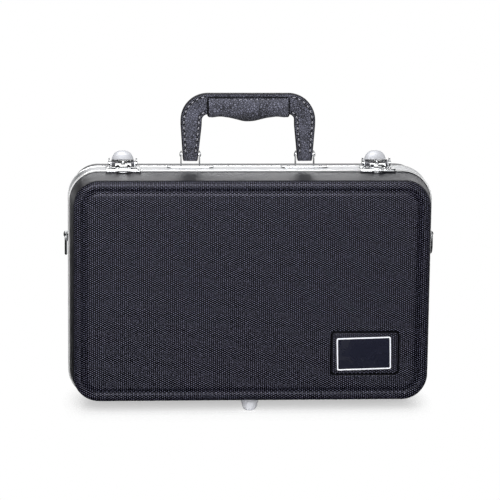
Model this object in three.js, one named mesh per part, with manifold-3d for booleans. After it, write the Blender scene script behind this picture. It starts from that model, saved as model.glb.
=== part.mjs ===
// Clarinet case, millimetres, +Z up. It stands on its feet with the lid towards -Y,
// the hinges below and the handle on top. X is the width. Z is 0 under the feet.
import * as THREE from 'three';
import { mergeVertices } from 'three/addons/utils/BufferGeometryUtils.js';
import Module from 'manifold-3d';

const wasm = await Module();
wasm.setup();

// Case envelope, measured over the aluminium frames
const caseWidth = 362;
const caseHeight = 231.5;
const lidDepth = 49;
const baseDepth = 56;
const frameCorner = 30;
const smallestCorner = 6;
const cornerSteps = 6;

// Running and seating clearances
const seamGap = 0.15;
const seat = 0.1;
const gap = 0.3;
const overrun = 5;

// Moulded shells
const shellWall = 2.6;
const shellDraft = 2.7;
const edgeRound = 6;
const beadLand = 1.6;
const grooveSlope = 2;
const grooveFloor = 1.4;
const grooveDepth = 2.2;
const panelRamp = 2.4;
const panelRound = 1.8;
const panelStep = 0.4;
const innerShiftShare = 0.35;
const filletSteps = 5;

// Aluminium frames, with a channel for the shell's edge and a tongue and groove at the seam
const lidFrameDepth = 12;
const baseFrameDepth = 13.2;
const flangeWall = 1.2;
const frameWeb = 1;
const innerFlangeReach = 10;
const tongueReach = 1.2;
const tongueWidth = 1.6;
const tongueInset = 2.5;
const beadWidth = 1.3;
const beadRise = 0.5;
const beadSlope = 0.4;

// Badge
const padWidth = 69.6;
const padHeight = 45.4;
const padCorner = 5;
const padGrooveDepth = 0.9;
const padGrooveWidth = 1.5;
const padEndDistance = 68;
const padCentreHeight = 52.8;
const plateShift = 1;
const plateWidth = 54.2;
const plateHeight = 33;
const plateCorner = 1.8;
const plateThickness = 1;
const plateBorder = 1.3;
const plateInnerCornerShare = 0.5;
const plateFaceDepth = 0.35;
const plateTiltDegrees = 1.6;

// Plush-covered tray in the base and lining in the lid
const liningClearance = 0.5;
const liningBackSpace = 0.5;
const liningRound = 7;
const liningWall = 3;
const liningStart = 0.8;
const trayTaper = 1.8;
const pocketRound = 12;
const pocketSteps = 4;
const pocketCorner = 11;
const pocketLeastCorner = 0.25;
const trayMargin = 11;
const pocketWall = 9;
const jointPocketWidth = 45;
const lowerJointLength = 262;
const upperJointLength = 232;
const jointPocketDepth = 38;
const mouthpieceLength = 94;
const mouthpieceWidth = 37;
const bellLength = 114;
const bellWidth = 84;
const bellDepth = 44;
const barrelLength = 72;
const barrelWidth = 38;
const smallPocketDepth = 34;

// Hinges along the bottom
const hingeSpread = 115;
const hingeHalfLength = 20;
const hingeLeafReach = 10.6;
const hingeLeafThickness = 1;
const knuckleRadius = 2.2;
const knuckleBore = 1.35;
const hingePinRadius = 1.1;
const hingeHeadRadius = 1.8;
const hingeHeadLength = 0.9;
const knuckleCount = 5;
const hingeRivetRadius = 1.5;
const hingeRivetShare = 0.7;

// Draw latches
const latchSpread = 126.8;
const latchHalfWidth = 17.5;
const latchSheet = 1;
const latchPlateStart = 0.8;
const latchPlateEnd = 11.5;
const leverPinY = 4.2;
const leverPinHeight = 4.6;
const latchPinRadius = 0.95;
const latchPinHeadRadius = 1.7;
const latchPinHead = 0.7;
const pinClearance = 0.25;
const cheekHeight = 9.5;
const cheekThickness = 1.2;
const cheekBackShare = 0.55;
const cheekFrontShare = 0.6;
const cheekCrownShare = 0.8;
const leverHalfWidth = 12.6;
const leverKnuckle = 2.1;
const leverFlange = 1.2;
const leverFlangeHeight = 6.4;
const hookPinY = 9.6;
const hookPinHeight = 4.7;
const hookKnuckle = 1.8;
const domeY = 16.6;
const domeHalfWidth = 11.4;
const domeHalfDepth = 4.3;
const domeHeight = 15.2;
const domeWall = 1.1;
const domeSides = 14;
const domeRings = 10;
const hookLipY = 8.7;
const hookArch = 8;
const hookSideGap = 0.5;
const hookHubRadius = 3;
const hookHubRise = 0.6;
const hookHubHole = 1.1;
const hookWaist = 7.4;
const hookFallShare = 0.5;
const hookDropShare = 0.55;
const hookWindowX = 5;
const hookWindowY = 0.9;
const hookWindowWidthShare = 0.55;
const hookWindowTurn = Math.PI / 7;
const lipWindowX = 5.5;
const lipWindowHeight = 3.5;
const lipWindowHalfWidth = 1.8;
const lipWindowHalfHeight = 1.2;
const catchLipHeight = 3.9;
const catchLipHalfWidth = 8;
const catchTongueHalfWidth = 3.2;
const catchSlopeShare = 0.12;
const catchTabReach = 17.4;
const catchShoulderReach = 15.2;
const catchTabHalfWidth = 6.5;
const latchRivetRadius = 1.9;
const plateRivetShare = 0.7;
const rivetHeightShare = 0.5;
const rivetSides = 8;
const rivetRings = 6;

// Handle and its brackets
const handleTop = 74.7;
const handleCentreX = -2.4;
const handleHalfWidth = 67.1;
const handleShoulder = 43;
const handleFoot = 6.8;
const legWidth = 21;
const legFootWidth = 14.6;
const handleCorner = 27;
const strapBand = 21;
const strapThickness = 8.6;
const strapBevel = 1.4;
const strapBevelSegments = 2;
const gripHalfLength = 41.3;
const gripTop = 71.6;
const gripEndBottom = 51;
const gripMiddleBottom = 47.1;
const gripHalfDepth = 10.5;
const gripEndRound = 4;
const gripEndShare = 0.9;
const gripEndFullness = 0.96;
const gripSwellShare = 0.56;
const gripHollowShare = 0.68;
const gripHollowRise = 0.9;
const gripHollowSpread = 0.14;
const gripSquareness = 0.75;
const gripSectionSteps = 20;
const gripStationShares = [0.22, 0.36, 0.5, 0.68, 0.8, 0.9, 0.97, 1];
const bracketY = 6.2;
const bracketHalfLength = 23.5;
const bracketHalfDepth = 5.2;
const bracketSheet = 1;
const bracketSpread = 57.2;
const earHalfGap = 8.7;
const earThickness = 1;
const earHalfDepth = 4;
const handlePinHeight = 13;
const handlePinRadius = 1.5;
const handlePinHeadRadius = 2.4;
const handlePinHead = 1;
const bracketRivetRadius = 2;

// Shoulder-strap rings on both ends
const ringHeight = 171.5;
const ringY = 6.2;
const ringWire = 1.3;
const ringHalfWidth = 9;
const ringDrop = 20;
const clipHalfHeight = 4.5;
const clipHalfDepth = 4.6;
const clipSheet = 1;
const clipKnuckle = 2.4;
const ringCornerSteps = 3;
const wireSteps = 10;
const wireSides = 8;

// Feet
const footHeight = 9.5;
const footRadius = 8.6;
const footFlatRadius = 4;
const footStep = 1.4;
const footStepRadius = 7.9;
const footSteps = 5;
const footSides = 20;
const lidFootReach = 28;
const baseFootReach = 34;
const baseFootSpread = 118;

// Facet counts for round parts
const roundSides = 16;
const pinSides = 12;
const curveSegments = 6;

// Places that follow from the sizes above
const badgeProud = plateThickness + seat;
const seamY = (lidDepth + badgeProud - baseDepth) / 2;
const frameBottom = footHeight;
const frameTop = footHeight + caseHeight;
const middleZ = footHeight + caseHeight / 2;
const channelWidth = shellWall + 2 * gap;
const shellInset = flangeWall + gap;
const webDepth = seamGap + tongueReach + gap + frameWeb;
const faceInset = shellInset + shellDraft;
const frameInnerInset = flangeWall + channelWidth + flangeWall;
const padCentreX = caseWidth / 2 - padEndDistance;
const handleFootHalfWidth = bracketSpread + legFootWidth / 2;
const handleInnerCorner = handleHalfWidth - legWidth - gripHalfLength - gap;
const lidSide = -1;
const baseSide = 1;

// Materials
const shellMaterial = material(0x23232a, 0.55, 0);
const aluminium = material(0xc9cacc, 0.35, 0.9);
const chrome = material(0xe6e7ea, 0.12, 1);
const leather = material(0x4e4e58, 0.6, 0);
const plush = material(0x17171b, 0.95, 0);
const badgeMaterial = material(0x14141c, 0.3, 0.2);

function material(color, roughness, metalness) {
  return new THREE.MeshStandardMaterial({ color, roughness, metalness });
}

// Closed mesh through rings of equal point count, capped, or closed on itself as a hoop
function skin(rings, hoop) {
  const count = rings[0].length;
  const positions = rings.flat(2);
  const indices = [];
  const spans = hoop ? rings.length : rings.length - 1;
  for (let ring = 0; ring < spans; ring += 1) {
    const next = (ring + 1) % rings.length;
    for (let i = 0; i < count; i += 1) {
      const j = (i + 1) % count;
      const [a, b] = [ring * count + i, ring * count + j];
      const [c, d] = [next * count + j, next * count + i];
      indices.push(a, b, c, a, c, d);
    }
  }
  if (!hoop) {
    addCap(positions, indices, rings[0], 0, true);
    addCap(positions, indices, rings[rings.length - 1], (rings.length - 1) * count, false);
  }
  const geometry = new THREE.BufferGeometry();
  geometry.setAttribute('position', new THREE.Float32BufferAttribute(positions, 3));
  geometry.setIndex(indices);
  return faceOutwards(geometry);
}

// Fan from the middle of a flat ring
function addCap(positions, indices, ring, start, reversed) {
  const centre = positions.length / 3;
  const sum = [0, 0, 0];
  ring.forEach((point) => point.forEach((value, axis) => { sum[axis] += value; }));
  positions.push(...sum.map((value) => value / ring.length));
  for (let i = 0; i < ring.length; i += 1) {
    const j = (i + 1) % ring.length;
    const pair = reversed ? [start + j, start + i] : [start + i, start + j];
    indices.push(centre, ...pair);
  }
}

// Turns every face round when the mesh encloses a negative volume
function faceOutwards(geometry) {
  const index = geometry.index.array;
  const position = geometry.attributes.position;
  const [a, b, c] = [new THREE.Vector3(), new THREE.Vector3(), new THREE.Vector3()];
  let volume = 0;
  for (let i = 0; i < index.length; i += 3) {
    a.fromBufferAttribute(position, index[i]);
    b.fromBufferAttribute(position, index[i + 1]);
    c.fromBufferAttribute(position, index[i + 2]);
    volume += a.dot(b.cross(c));
  }
  if (volume < 0) {
    for (let i = 0; i < index.length; i += 3) {
      [index[i + 1], index[i + 2]] = [index[i + 2], index[i + 1]];
    }
  }
  return geometry;
}

// Rounded rectangle as points, counter-clockwise
function roundedOutline(halfWidth, halfHeight, radius) {
  const corners = [[1, 1], [-1, 1], [-1, -1], [1, -1]];
  return corners.flatMap(([signX, signZ], corner) => (
    Array.from({ length: cornerSteps + 1 }, (unused, i) => {
      const angle = (corner + i / cornerSteps) * Math.PI / 2;
      return [
        signX * (halfWidth - radius) + radius * Math.cos(angle),
        signZ * (halfHeight - radius) + radius * Math.sin(angle),
      ];
    })
  ));
}

// Outline of the case at a distance from the seam, drawn in by an inset
function caseRing(side, distance, inset) {
  const radius = Math.max(frameCorner - inset, smallestCorner);
  const points = roundedOutline(caseWidth / 2 - inset, caseHeight / 2 - inset, radius);
  return points.map(([x, z]) => [x, seamY + side * distance, middleZ + z]);
}

// Quarter round from the side (distance, inset) to the face, as profile points
function cornerProfile(faceDistance, sideInset, radius, steps) {
  return Array.from({ length: steps + 1 }, (unused, i) => {
    const angle = (i / steps) * Math.PI / 2;
    return [
      faceDistance - radius + radius * Math.sin(angle),
      sideInset + radius - radius * Math.cos(angle),
    ];
  });
}

function toSolid(geometry) {
  const bare = geometry.clone();
  bare.deleteAttribute('normal');
  bare.deleteAttribute('uv');
  const merged = mergeVertices(bare);
  return new wasm.Manifold(new wasm.Mesh({
    numProp: 3,
    vertProperties: new Float32Array(merged.attributes.position.array),
    triVerts: new Uint32Array(merged.index.array),
  }));
}

function toGeometry(solid) {
  const mesh = solid.getMesh();
  const geometry = new THREE.BufferGeometry();
  geometry.setAttribute('position', new THREE.BufferAttribute(mesh.vertProperties, 3));
  geometry.setIndex(new THREE.BufferAttribute(mesh.triVerts, 1));
  return geometry;
}

function join(...geometries) {
  return toGeometry(geometries.map(toSolid).reduce((sum, next) => sum.add(next)));
}

function cut(geometry, ...tools) {
  const solids = tools.map(toSolid);
  return toGeometry(solids.reduce((rest, next) => rest.subtract(next), toSolid(geometry)));
}

function keep(geometry, limits) {
  return toGeometry(toSolid(geometry).intersect(toSolid(limits)));
}

function block(lowX, highX, lowY, highY, lowZ, highZ) {
  const geometry = new THREE.BoxGeometry(highX - lowX, highY - lowY, highZ - lowZ);
  return geometry.translate((lowX + highX) / 2, (lowY + highY) / 2, (lowZ + highZ) / 2);
}

// Rod along X between two places
function rodX(radius, lowX, highX, y, z, sides) {
  const geometry = new THREE.CylinderGeometry(radius, radius, highX - lowX, sides);
  return geometry.rotateZ(Math.PI / 2).translate((lowX + highX) / 2, y, z);
}

function rodY(radius, lowY, highY, x, z, sides) {
  const geometry = new THREE.CylinderGeometry(radius, radius, highY - lowY, sides);
  return geometry.translate(x, (lowY + highY) / 2, z);
}

function rodZ(radius, lowZ, highZ, x, y, sides) {
  const geometry = new THREE.CylinderGeometry(radius, radius, highZ - lowZ, sides);
  return geometry.rotateX(Math.PI / 2).translate(x, y, (lowZ + highZ) / 2);
}

// Shape drawn in (y, z) and run along X
function extrudeX(shape, lowX, highX) {
  const options = { depth: highX - lowX, bevelEnabled: false, curveSegments };
  const turn = new THREE.Matrix4().makeBasis(
    new THREE.Vector3(0, 1, 0),
    new THREE.Vector3(0, 0, 1),
    new THREE.Vector3(1, 0, 0),
  );
  return new THREE.ExtrudeGeometry(shape, options).applyMatrix4(turn).translate(lowX, 0, 0);
}

// Shape drawn in (x, y) and run along Z
function extrudeZ(shape, lowZ, highZ) {
  const options = { depth: highZ - lowZ, bevelEnabled: false, curveSegments };
  return new THREE.ExtrudeGeometry(shape, options).translate(0, 0, lowZ);
}

function shapeOf(points) {
  return new THREE.Shape(points.map(([u, v]) => new THREE.Vector2(u, v)));
}

// Strip of even thickness along a bent line
function ribbon(points, thickness) {
  const half = thickness / 2;
  const sides = [1, -1].map((sign) => points.map((point, i) => {
    const before = points[Math.max(i - 1, 0)];
    const after = points[Math.min(i + 1, points.length - 1)];
    const first = unit(before, i === 0 ? after : point);
    const second = unit(i === points.length - 1 ? before : point, after);
    const normal = [-(first[1] + second[1]), first[0] + second[0]];
    const length = Math.hypot(...normal);
    const turn = (normal[0] * -first[1] + normal[1] * first[0]) / length;
    return [
      point[0] + sign * half * normal[0] / length / turn,
      point[1] + sign * half * normal[1] / length / turn,
    ];
  }));
  return shapeOf([...sides[0], ...sides[1].reverse()]);
}

function unit(from, to) {
  const length = Math.hypot(to[0] - from[0], to[1] - from[1]);
  return [(to[0] - from[0]) / length, (to[1] - from[1]) / length];
}

// Low dome, flat below, for a rivet head standing up from z
function rivet(radius, x, y, z, up = 1) {
  const height = radius * rivetHeightShare;
  const dome = new THREE.SphereGeometry(radius, rivetSides, rivetRings);
  dome.scale(1, 1, height / radius);
  const [low, high] = up > 0 ? [-seat, height] : [-height, seat];
  const limits = block(-radius, radius, -radius, radius, low, high);
  return keep(dome, limits).translate(x, y, z);
}

// Outer and inner profile of a moulded shell, from the middle inside to the middle outside
function shellGeometry(side, depth, frameDepth) {
  const beadInset = faceInset + edgeRound + beadLand;
  const grooveInset = beadInset + grooveSlope;
  const rampInset = grooveInset + grooveFloor;
  const panelInset = rampInset + panelRamp;
  const innerShift = shellWall * innerShiftShare;
  const outer = [
    [webDepth + gap, shellInset],
    [frameDepth, shellInset],
    ...cornerProfile(depth, faceInset, edgeRound, filletSteps),
    [depth, beadInset],
    [depth - grooveDepth, grooveInset],
    [depth - grooveDepth, rampInset],
    [depth - panelStep, panelInset],
    [depth, panelInset + panelRound],
  ];
  const inner = [
    [webDepth + gap, shellInset + shellWall],
    [frameDepth, shellInset + shellWall],
    ...cornerProfile(depth - shellWall, faceInset + shellWall, edgeRound - shellWall, filletSteps),
    [depth - shellWall, beadInset - innerShift],
    [depth - grooveDepth - shellWall, grooveInset - innerShift],
    [depth - grooveDepth - shellWall, rampInset + innerShift],
    [depth - shellWall, panelInset + innerShift],
  ];
  const profile = [...inner.reverse(), ...outer];
  return skin(profile.map(([distance, inset]) => caseRing(side, distance, inset)), false);
}

// Lid with a narrow pressed groove round the badge's pad
function lidShell() {
  const groove = cut(padSlab(0, padGrooveDepth, overrun), padSlab(padGrooveWidth, overrun, 2 * overrun));
  return cut(shellGeometry(lidSide, lidDepth, lidFrameDepth), groove);
}

function padSlab(inset, below, above) {
  const outline = roundedOutline(padWidth / 2 - inset, padHeight / 2 - inset, padCorner - inset);
  return skin([lidDepth - below, lidDepth + above].map((distance) => (
    outline.map(([x, z]) => [padCentreX + x, seamY - distance, frameBottom + padCentreHeight + z])
  )), false);
}

// Extruded frame, mitred round the case: outer flange with a bead, web, inner flange
function frameGeometry(side, frameDepth, seamPoints) {
  const inner = flangeWall + channelWidth;
  const profile = [
    [seamGap, 0],
    [frameDepth - beadWidth, 0],
    [frameDepth - beadWidth + beadSlope, -beadRise],
    [frameDepth - beadSlope, -beadRise],
    [frameDepth, 0],
    [frameDepth, flangeWall],
    [webDepth, flangeWall],
    [webDepth, inner],
    [innerFlangeReach, inner],
    [innerFlangeReach, frameInnerInset],
    [seamGap, frameInnerInset],
    ...seamPoints,
  ];
  return skin(profile.map(([distance, inset]) => caseRing(side, distance, inset)), true);
}

function lidFrame() {
  const floor = seamGap + tongueReach + gap;
  return frameGeometry(lidSide, lidFrameDepth, [
    [seamGap, tongueInset + tongueWidth + gap],
    [floor, tongueInset + tongueWidth + gap],
    [floor, tongueInset - gap],
    [seamGap, tongueInset - gap],
  ]);
}

function baseFrame() {
  return frameGeometry(baseSide, baseFrameDepth, [
    [seamGap, tongueInset + tongueWidth],
    [-tongueReach, tongueInset + tongueWidth],
    [-tongueReach, tongueInset],
    [seamGap, tongueInset],
  ]);
}

// Plate with a raised border and a bare, slightly sunk face
function badgePlate() {
  const turn = new THREE.Matrix4().makeRotationY(-THREE.MathUtils.degToRad(plateTiltDegrees));
  const front = -seat - plateThickness;
  const slab = plateSlab(0, front, -seat);
  const face = plateSlab(plateBorder, front - overrun, front + plateFaceDepth);
  const plate = cut(slab, face);
  plate.applyMatrix4(turn);
  return plate.translate(padCentreX - plateShift, seamY - lidDepth, frameBottom + padCentreHeight);
}

function plateSlab(border, frontY, backY) {
  const radius = plateCorner - border * plateInnerCornerShare;
  const outline = roundedOutline(plateWidth / 2 - border, plateHeight / 2 - border, radius);
  return skin([frontY, backY].map((y) => outline.map(([x, z]) => [x, y, z])), false);
}

// Outside of the soft lining, shared by the tray and the lid lining
function liningOutside(depth) {
  const inset = frameInnerInset + liningClearance;
  const bottom = depth - shellWall - grooveDepth - liningBackSpace;
  return [
    [liningStart, inset],
    [innerFlangeReach, inset],
    ...cornerProfile(bottom, inset + trayTaper, liningRound, pocketSteps),
  ];
}

function lidLining() {
  const outer = liningOutside(lidDepth);
  const inset = frameInnerInset + liningClearance + liningWall;
  const bottom = lidDepth - shellWall - grooveDepth - liningBackSpace - liningWall;
  const inner = [
    [liningStart, inset],
    [innerFlangeReach, inset],
    ...cornerProfile(bottom, inset + trayTaper, liningRound - liningWall, pocketSteps),
  ];
  const profile = [...inner.reverse(), ...outer];
  const rings = profile.map(([distance, ringInset]) => caseRing(lidSide, distance, ringInset));
  return skin(rings, false);
}

// Round-bottomed pocket, open at the seam
function pocket({ lowX, highX, lowZ, highZ, depth }) {
  const halfX = (highX - lowX) / 2;
  const halfZ = (highZ - lowZ) / 2;
  const stations = [
    [-overrun, 0],
    ...cornerProfile(depth, 0, pocketRound, pocketSteps),
  ];
  const rings = stations.map(([distance, inset]) => {
    const radius = Math.max(pocketCorner - inset, pocketLeastCorner);
    const outline = roundedOutline(halfX - inset, halfZ - inset, radius);
    return outline.map(([x, z]) => [(lowX + highX) / 2 + x, seamY + distance, (lowZ + highZ) / 2 + z]);
  });
  return skin(rings, false);
}

// Places of the pockets for the five pieces and the small things
function pocketPlaces() {
  const left = -caseWidth / 2 + frameInnerInset + trayMargin;
  const right = -left;
  const top = frameTop - frameInnerInset - trayMargin;
  const bottom = frameBottom + frameInnerInset + trayMargin;
  const secondRow = top - jointPocketWidth - pocketWall;
  const lowerRow = secondRow - jointPocketWidth - pocketWall;
  return {
    lowerJoint: {
      lowX: left,
      highX: left + lowerJointLength,
      lowZ: top - jointPocketWidth,
      highZ: top,
      depth: jointPocketDepth,
    },
    upperJoint: {
      lowX: left,
      highX: left + upperJointLength,
      lowZ: secondRow - jointPocketWidth,
      highZ: secondRow,
      depth: jointPocketDepth,
    },
    mouthpiece: {
      lowX: right - mouthpieceWidth,
      highX: right,
      lowZ: top - mouthpieceLength,
      highZ: top,
      depth: smallPocketDepth,
    },
    bell: {
      lowX: right - bellLength,
      highX: right,
      lowZ: bottom,
      highZ: bottom + bellWidth,
      depth: bellDepth,
    },
    barrel: {
      lowX: right - bellLength - pocketWall - barrelWidth,
      highX: right - bellLength - pocketWall,
      lowZ: bottom,
      highZ: bottom + barrelLength,
      depth: smallPocketDepth,
    },
    accessories: {
      lowX: left,
      highX: right - bellLength - 2 * pocketWall - barrelWidth,
      lowZ: bottom,
      highZ: lowerRow,
      depth: jointPocketDepth,
    },
  };
}

function baseTray() {
  const rings = liningOutside(baseDepth).map(([distance, inset]) => caseRing(baseSide, distance, inset));
  return cut(skin(rings, false), ...Object.values(pocketPlaces()).map(pocket));
}

// One hinge leaf under a frame, with every second knuckle
function hingeLeaf(side, firstKnuckle) {
  const axisZ = frameBottom - seat - gap / 2 - knuckleRadius;
  const plateTop = frameBottom - seat;
  const plateBottom = plateTop - hingeLeafThickness;
  const near = knuckleRadius + gap;
  const span = 2 * hingeHalfLength / knuckleCount;
  const pieces = [orderedBlock(-hingeHalfLength, hingeHalfLength, side * near, side * hingeLeafReach,
    plateBottom, plateTop)];
  for (let knuckle = firstKnuckle; knuckle < knuckleCount; knuckle += 2) {
    const low = -hingeHalfLength + knuckle * span + gap / 2;
    const high = low + span - gap;
    pieces.push(rodX(knuckleRadius, low, high, 0, axisZ, roundSides));
    pieces.push(orderedBlock(low, high, 0, side * (near + gap), plateBottom, axisZ + knuckleRadius));
  }
  [-1, 1].forEach((end) => {
    const y = side * (near + hingeLeafReach) / 2;
    pieces.push(rivet(hingeRivetRadius, end * hingeHalfLength * hingeRivetShare, y, plateBottom, -1));
  });
  const boreReach = hingeHalfLength + overrun;
  const bore = rodX(knuckleBore, -boreReach, boreReach, 0, axisZ, roundSides);
  return cut(join(...pieces), bore).translate(0, seamY, 0);
}

function orderedBlock(lowX, highX, firstY, secondY, lowZ, highZ) {
  return block(lowX, highX, Math.min(firstY, secondY), Math.max(firstY, secondY), lowZ, highZ);
}

// Pin with a head at both ends
function headedPin(radius, headRadius, headLength, halfSpan, y, z) {
  return join(
    rodX(radius, -halfSpan - headLength / 2, halfSpan + headLength / 2, y, z, pinSides),
    ...[-1, 1].map((end) => {
      const places = [end * halfSpan, end * (halfSpan + headLength)].sort((a, b) => a - b);
      return rodX(headRadius, places[0], places[1], y, z, pinSides);
    }),
  );
}

function hingePin() {
  const axisZ = frameBottom - seat - gap / 2 - knuckleRadius;
  const halfSpan = hingeHalfLength + seat;
  return headedPin(hingePinRadius, hingeHeadRadius, hingeHeadLength, halfSpan, seamY, axisZ);
}

// Latch parts are drawn with the seam at y = 0 and the frame's top at z = 0
function latchPlate() {
  const top = seat + latchSheet;
  const plan = roundedShape(latchHalfWidth, latchPlateStart, latchPlateEnd, latchSheet);
  const plate = extrudeZ(plan, seat, top);
  const inner = leverHalfWidth + gap;
  const cheek = new THREE.Shape();
  cheek.moveTo(latchPlateStart, seat);
  cheek.lineTo(latchPlateEnd, seat);
  cheek.lineTo(latchPlateEnd, cheekHeight * cheekBackShare);
  cheek.quadraticCurveTo(latchPlateEnd, cheekHeight, hookPinY * cheekCrownShare, cheekHeight);
  cheek.quadraticCurveTo(leverPinY * cheekFrontShare, cheekHeight, latchPlateStart, leverPinHeight);
  const pieces = [plate];
  [-1, 1].forEach((end) => {
    const places = [end * inner, end * (inner + cheekThickness)].sort((a, b) => a - b);
    pieces.push(extrudeX(cheek, places[0], places[1]));
    const x = end * (inner + cheekThickness + latchHalfWidth) / 2;
    pieces.push(rivet(latchRivetRadius * plateRivetShare, x, (latchPlateStart + latchPlateEnd) / 2, top));
  });
  const bore = latchPinRadius + pinClearance;
  const hole = rodX(bore, -latchHalfWidth, latchHalfWidth, leverPinY, leverPinHeight, pinSides);
  return cut(join(...pieces), hole);
}

// Plan of a plate with rounded corners, from one y to another
function roundedShape(halfX, lowY, highY, radius) {
  const shape = new THREE.Shape();
  shape.moveTo(-halfX + radius, lowY);
  shape.lineTo(halfX - radius, lowY);
  shape.quadraticCurveTo(halfX, lowY, halfX, lowY + radius);
  shape.lineTo(halfX, highY - radius);
  shape.quadraticCurveTo(halfX, highY, halfX - radius, highY);
  shape.lineTo(-halfX + radius, highY);
  shape.quadraticCurveTo(-halfX, highY, -halfX, highY - radius);
  shape.lineTo(-halfX, lowY + radius);
  shape.quadraticCurveTo(-halfX, lowY, -halfX + radius, lowY);
  return shape;
}

function leverPin() {
  const halfSpan = leverHalfWidth + gap + cheekThickness + seat;
  return headedPin(latchPinRadius, latchPinHeadRadius, latchPinHead, halfSpan,
    leverPinY, leverPinHeight);
}

// Channel-shaped lever with a thumb dome at its free end
function latchLever() {
  const webBottom = seat + latchSheet + gap;
  const webTop = webBottom + latchSheet;
  const web = block(-leverHalfWidth, leverHalfWidth, leverPinY, domeY, webBottom, webTop);
  const flangeEnd = hookPinY + hookKnuckle;
  const flange = new THREE.Shape();
  flange.moveTo(leverPinY, webBottom);
  flange.lineTo(domeY, webBottom);
  flange.lineTo(flangeEnd, leverFlangeHeight);
  flange.lineTo(leverPinY, leverPinHeight + leverKnuckle);
  const pieces = [web];
  [-1, 1].forEach((end) => {
    const places = [end * (leverHalfWidth - leverFlange), end * leverHalfWidth].sort((a, b) => a - b);
    pieces.push(extrudeX(flange, places[0], places[1]));
  });
  pieces.push(rodX(leverKnuckle, -leverHalfWidth, leverHalfWidth, leverPinY, leverPinHeight, roundSides));
  const dome = domeSolid(0);
  const hollow = domeSolid(domeWall);
  const floor = block(-leverHalfWidth, leverHalfWidth, leverPinY, domeY + domeHalfDepth,
    -domeHeight, webBottom);
  const body = cut(join(...pieces, dome), hollow, floor);
  const bore = latchPinRadius + pinClearance;
  return cut(
    body,
    rodX(bore, -latchHalfWidth, latchHalfWidth, leverPinY, leverPinHeight, pinSides),
    rodX(bore, -latchHalfWidth, latchHalfWidth, hookPinY, hookPinHeight, pinSides),
  );
}

function domeSolid(wall) {
  const base = seat + latchSheet + gap;
  const dome = new THREE.SphereGeometry(1, domeSides, domeRings);
  dome.scale(domeHalfWidth - wall, domeHalfDepth - wall, domeHeight - base - wall);
  return dome.translate(0, domeY, base);
}

function hookPin() {
  const reach = leverHalfWidth - seat;
  return rodX(latchPinRadius, -reach, reach, hookPinY, hookPinHeight, pinSides);
}

// Stamped draw hook: arched over the lever's knuckle, turned down behind the catch lip
function drawHook() {
  const half = latchSheet / 2;
  const lipTop = seat + catchLipHeight + gap + half;
  const line = [
    [hookPinY, hookPinHeight + hookKnuckle - half],
    [(hookPinY + leverPinY) / 2, hookArch - half],
    [leverPinY, hookArch],
    [leverPinY - hookLipY * hookFallShare, hookArch - half],
    [-hookLipY * hookDropShare, lipTop + half],
    [-hookLipY, lipTop],
    [-hookLipY, seat + latchSheet + gap],
  ];
  const halfWidth = leverHalfWidth - leverFlange - hookSideGap;
  const strip = extrudeX(ribbon(line, latchSheet), -halfWidth, halfWidth);
  const plan = new THREE.Shape();
  plan.moveTo(-catchLipHalfWidth, -hookLipY - latchSheet);
  plan.lineTo(catchLipHalfWidth, -hookLipY - latchSheet);
  plan.quadraticCurveTo(catchLipHalfWidth, -leverPinY, hookWaist, 0);
  plan.quadraticCurveTo(hookWaist, leverPinY, halfWidth, leverPinY + hookKnuckle);
  plan.lineTo(halfWidth, hookPinY + hookKnuckle);
  plan.lineTo(-halfWidth, hookPinY + hookKnuckle);
  plan.lineTo(-halfWidth, leverPinY + hookKnuckle);
  plan.quadraticCurveTo(-hookWaist, leverPinY, -hookWaist, 0);
  plan.quadraticCurveTo(-catchLipHalfWidth, -leverPinY, -catchLipHalfWidth, -hookLipY - latchSheet);
  const plate = keep(strip, extrudeZ(plan, 0, domeHeight));
  const hubZ = hookArch - half;
  const hub = rodZ(hookHubRadius, hubZ - latchSheet, hubZ + hookHubRise, 0, 0, roundSides);
  const windows = [-1, 1].flatMap((end) => {
    const upper = rodZ(1, -domeHeight, domeHeight, 0, 0, pinSides);
    upper.scale(hookHubRadius * hookWindowWidthShare, hookHubRadius, 1).rotateZ(end * hookWindowTurn);
    const lower = rodY(1, -hookLipY - latchSheet, -hookLipY + latchSheet, 0, 0, pinSides);
    lower.scale(lipWindowHalfWidth, 1, lipWindowHalfHeight);
    return [
      upper.translate(end * hookWindowX, -hookWindowY, hubZ),
      lower.translate(end * lipWindowX, 0, lipWindowHeight),
    ];
  });
  const solid = join(
    plate,
    hub,
    rodX(hookKnuckle, -halfWidth, halfWidth, hookPinY, hookPinHeight, roundSides),
  );
  const bore = latchPinRadius + pinClearance;
  return cut(
    solid,
    ...windows,
    rodZ(hookHubHole, hubZ - domeHeight, hubZ + domeHeight, 0, 0, pinSides),
    rodX(bore, -latchHalfWidth, latchHalfWidth, hookPinY, hookPinHeight, pinSides),
  );
}

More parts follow.
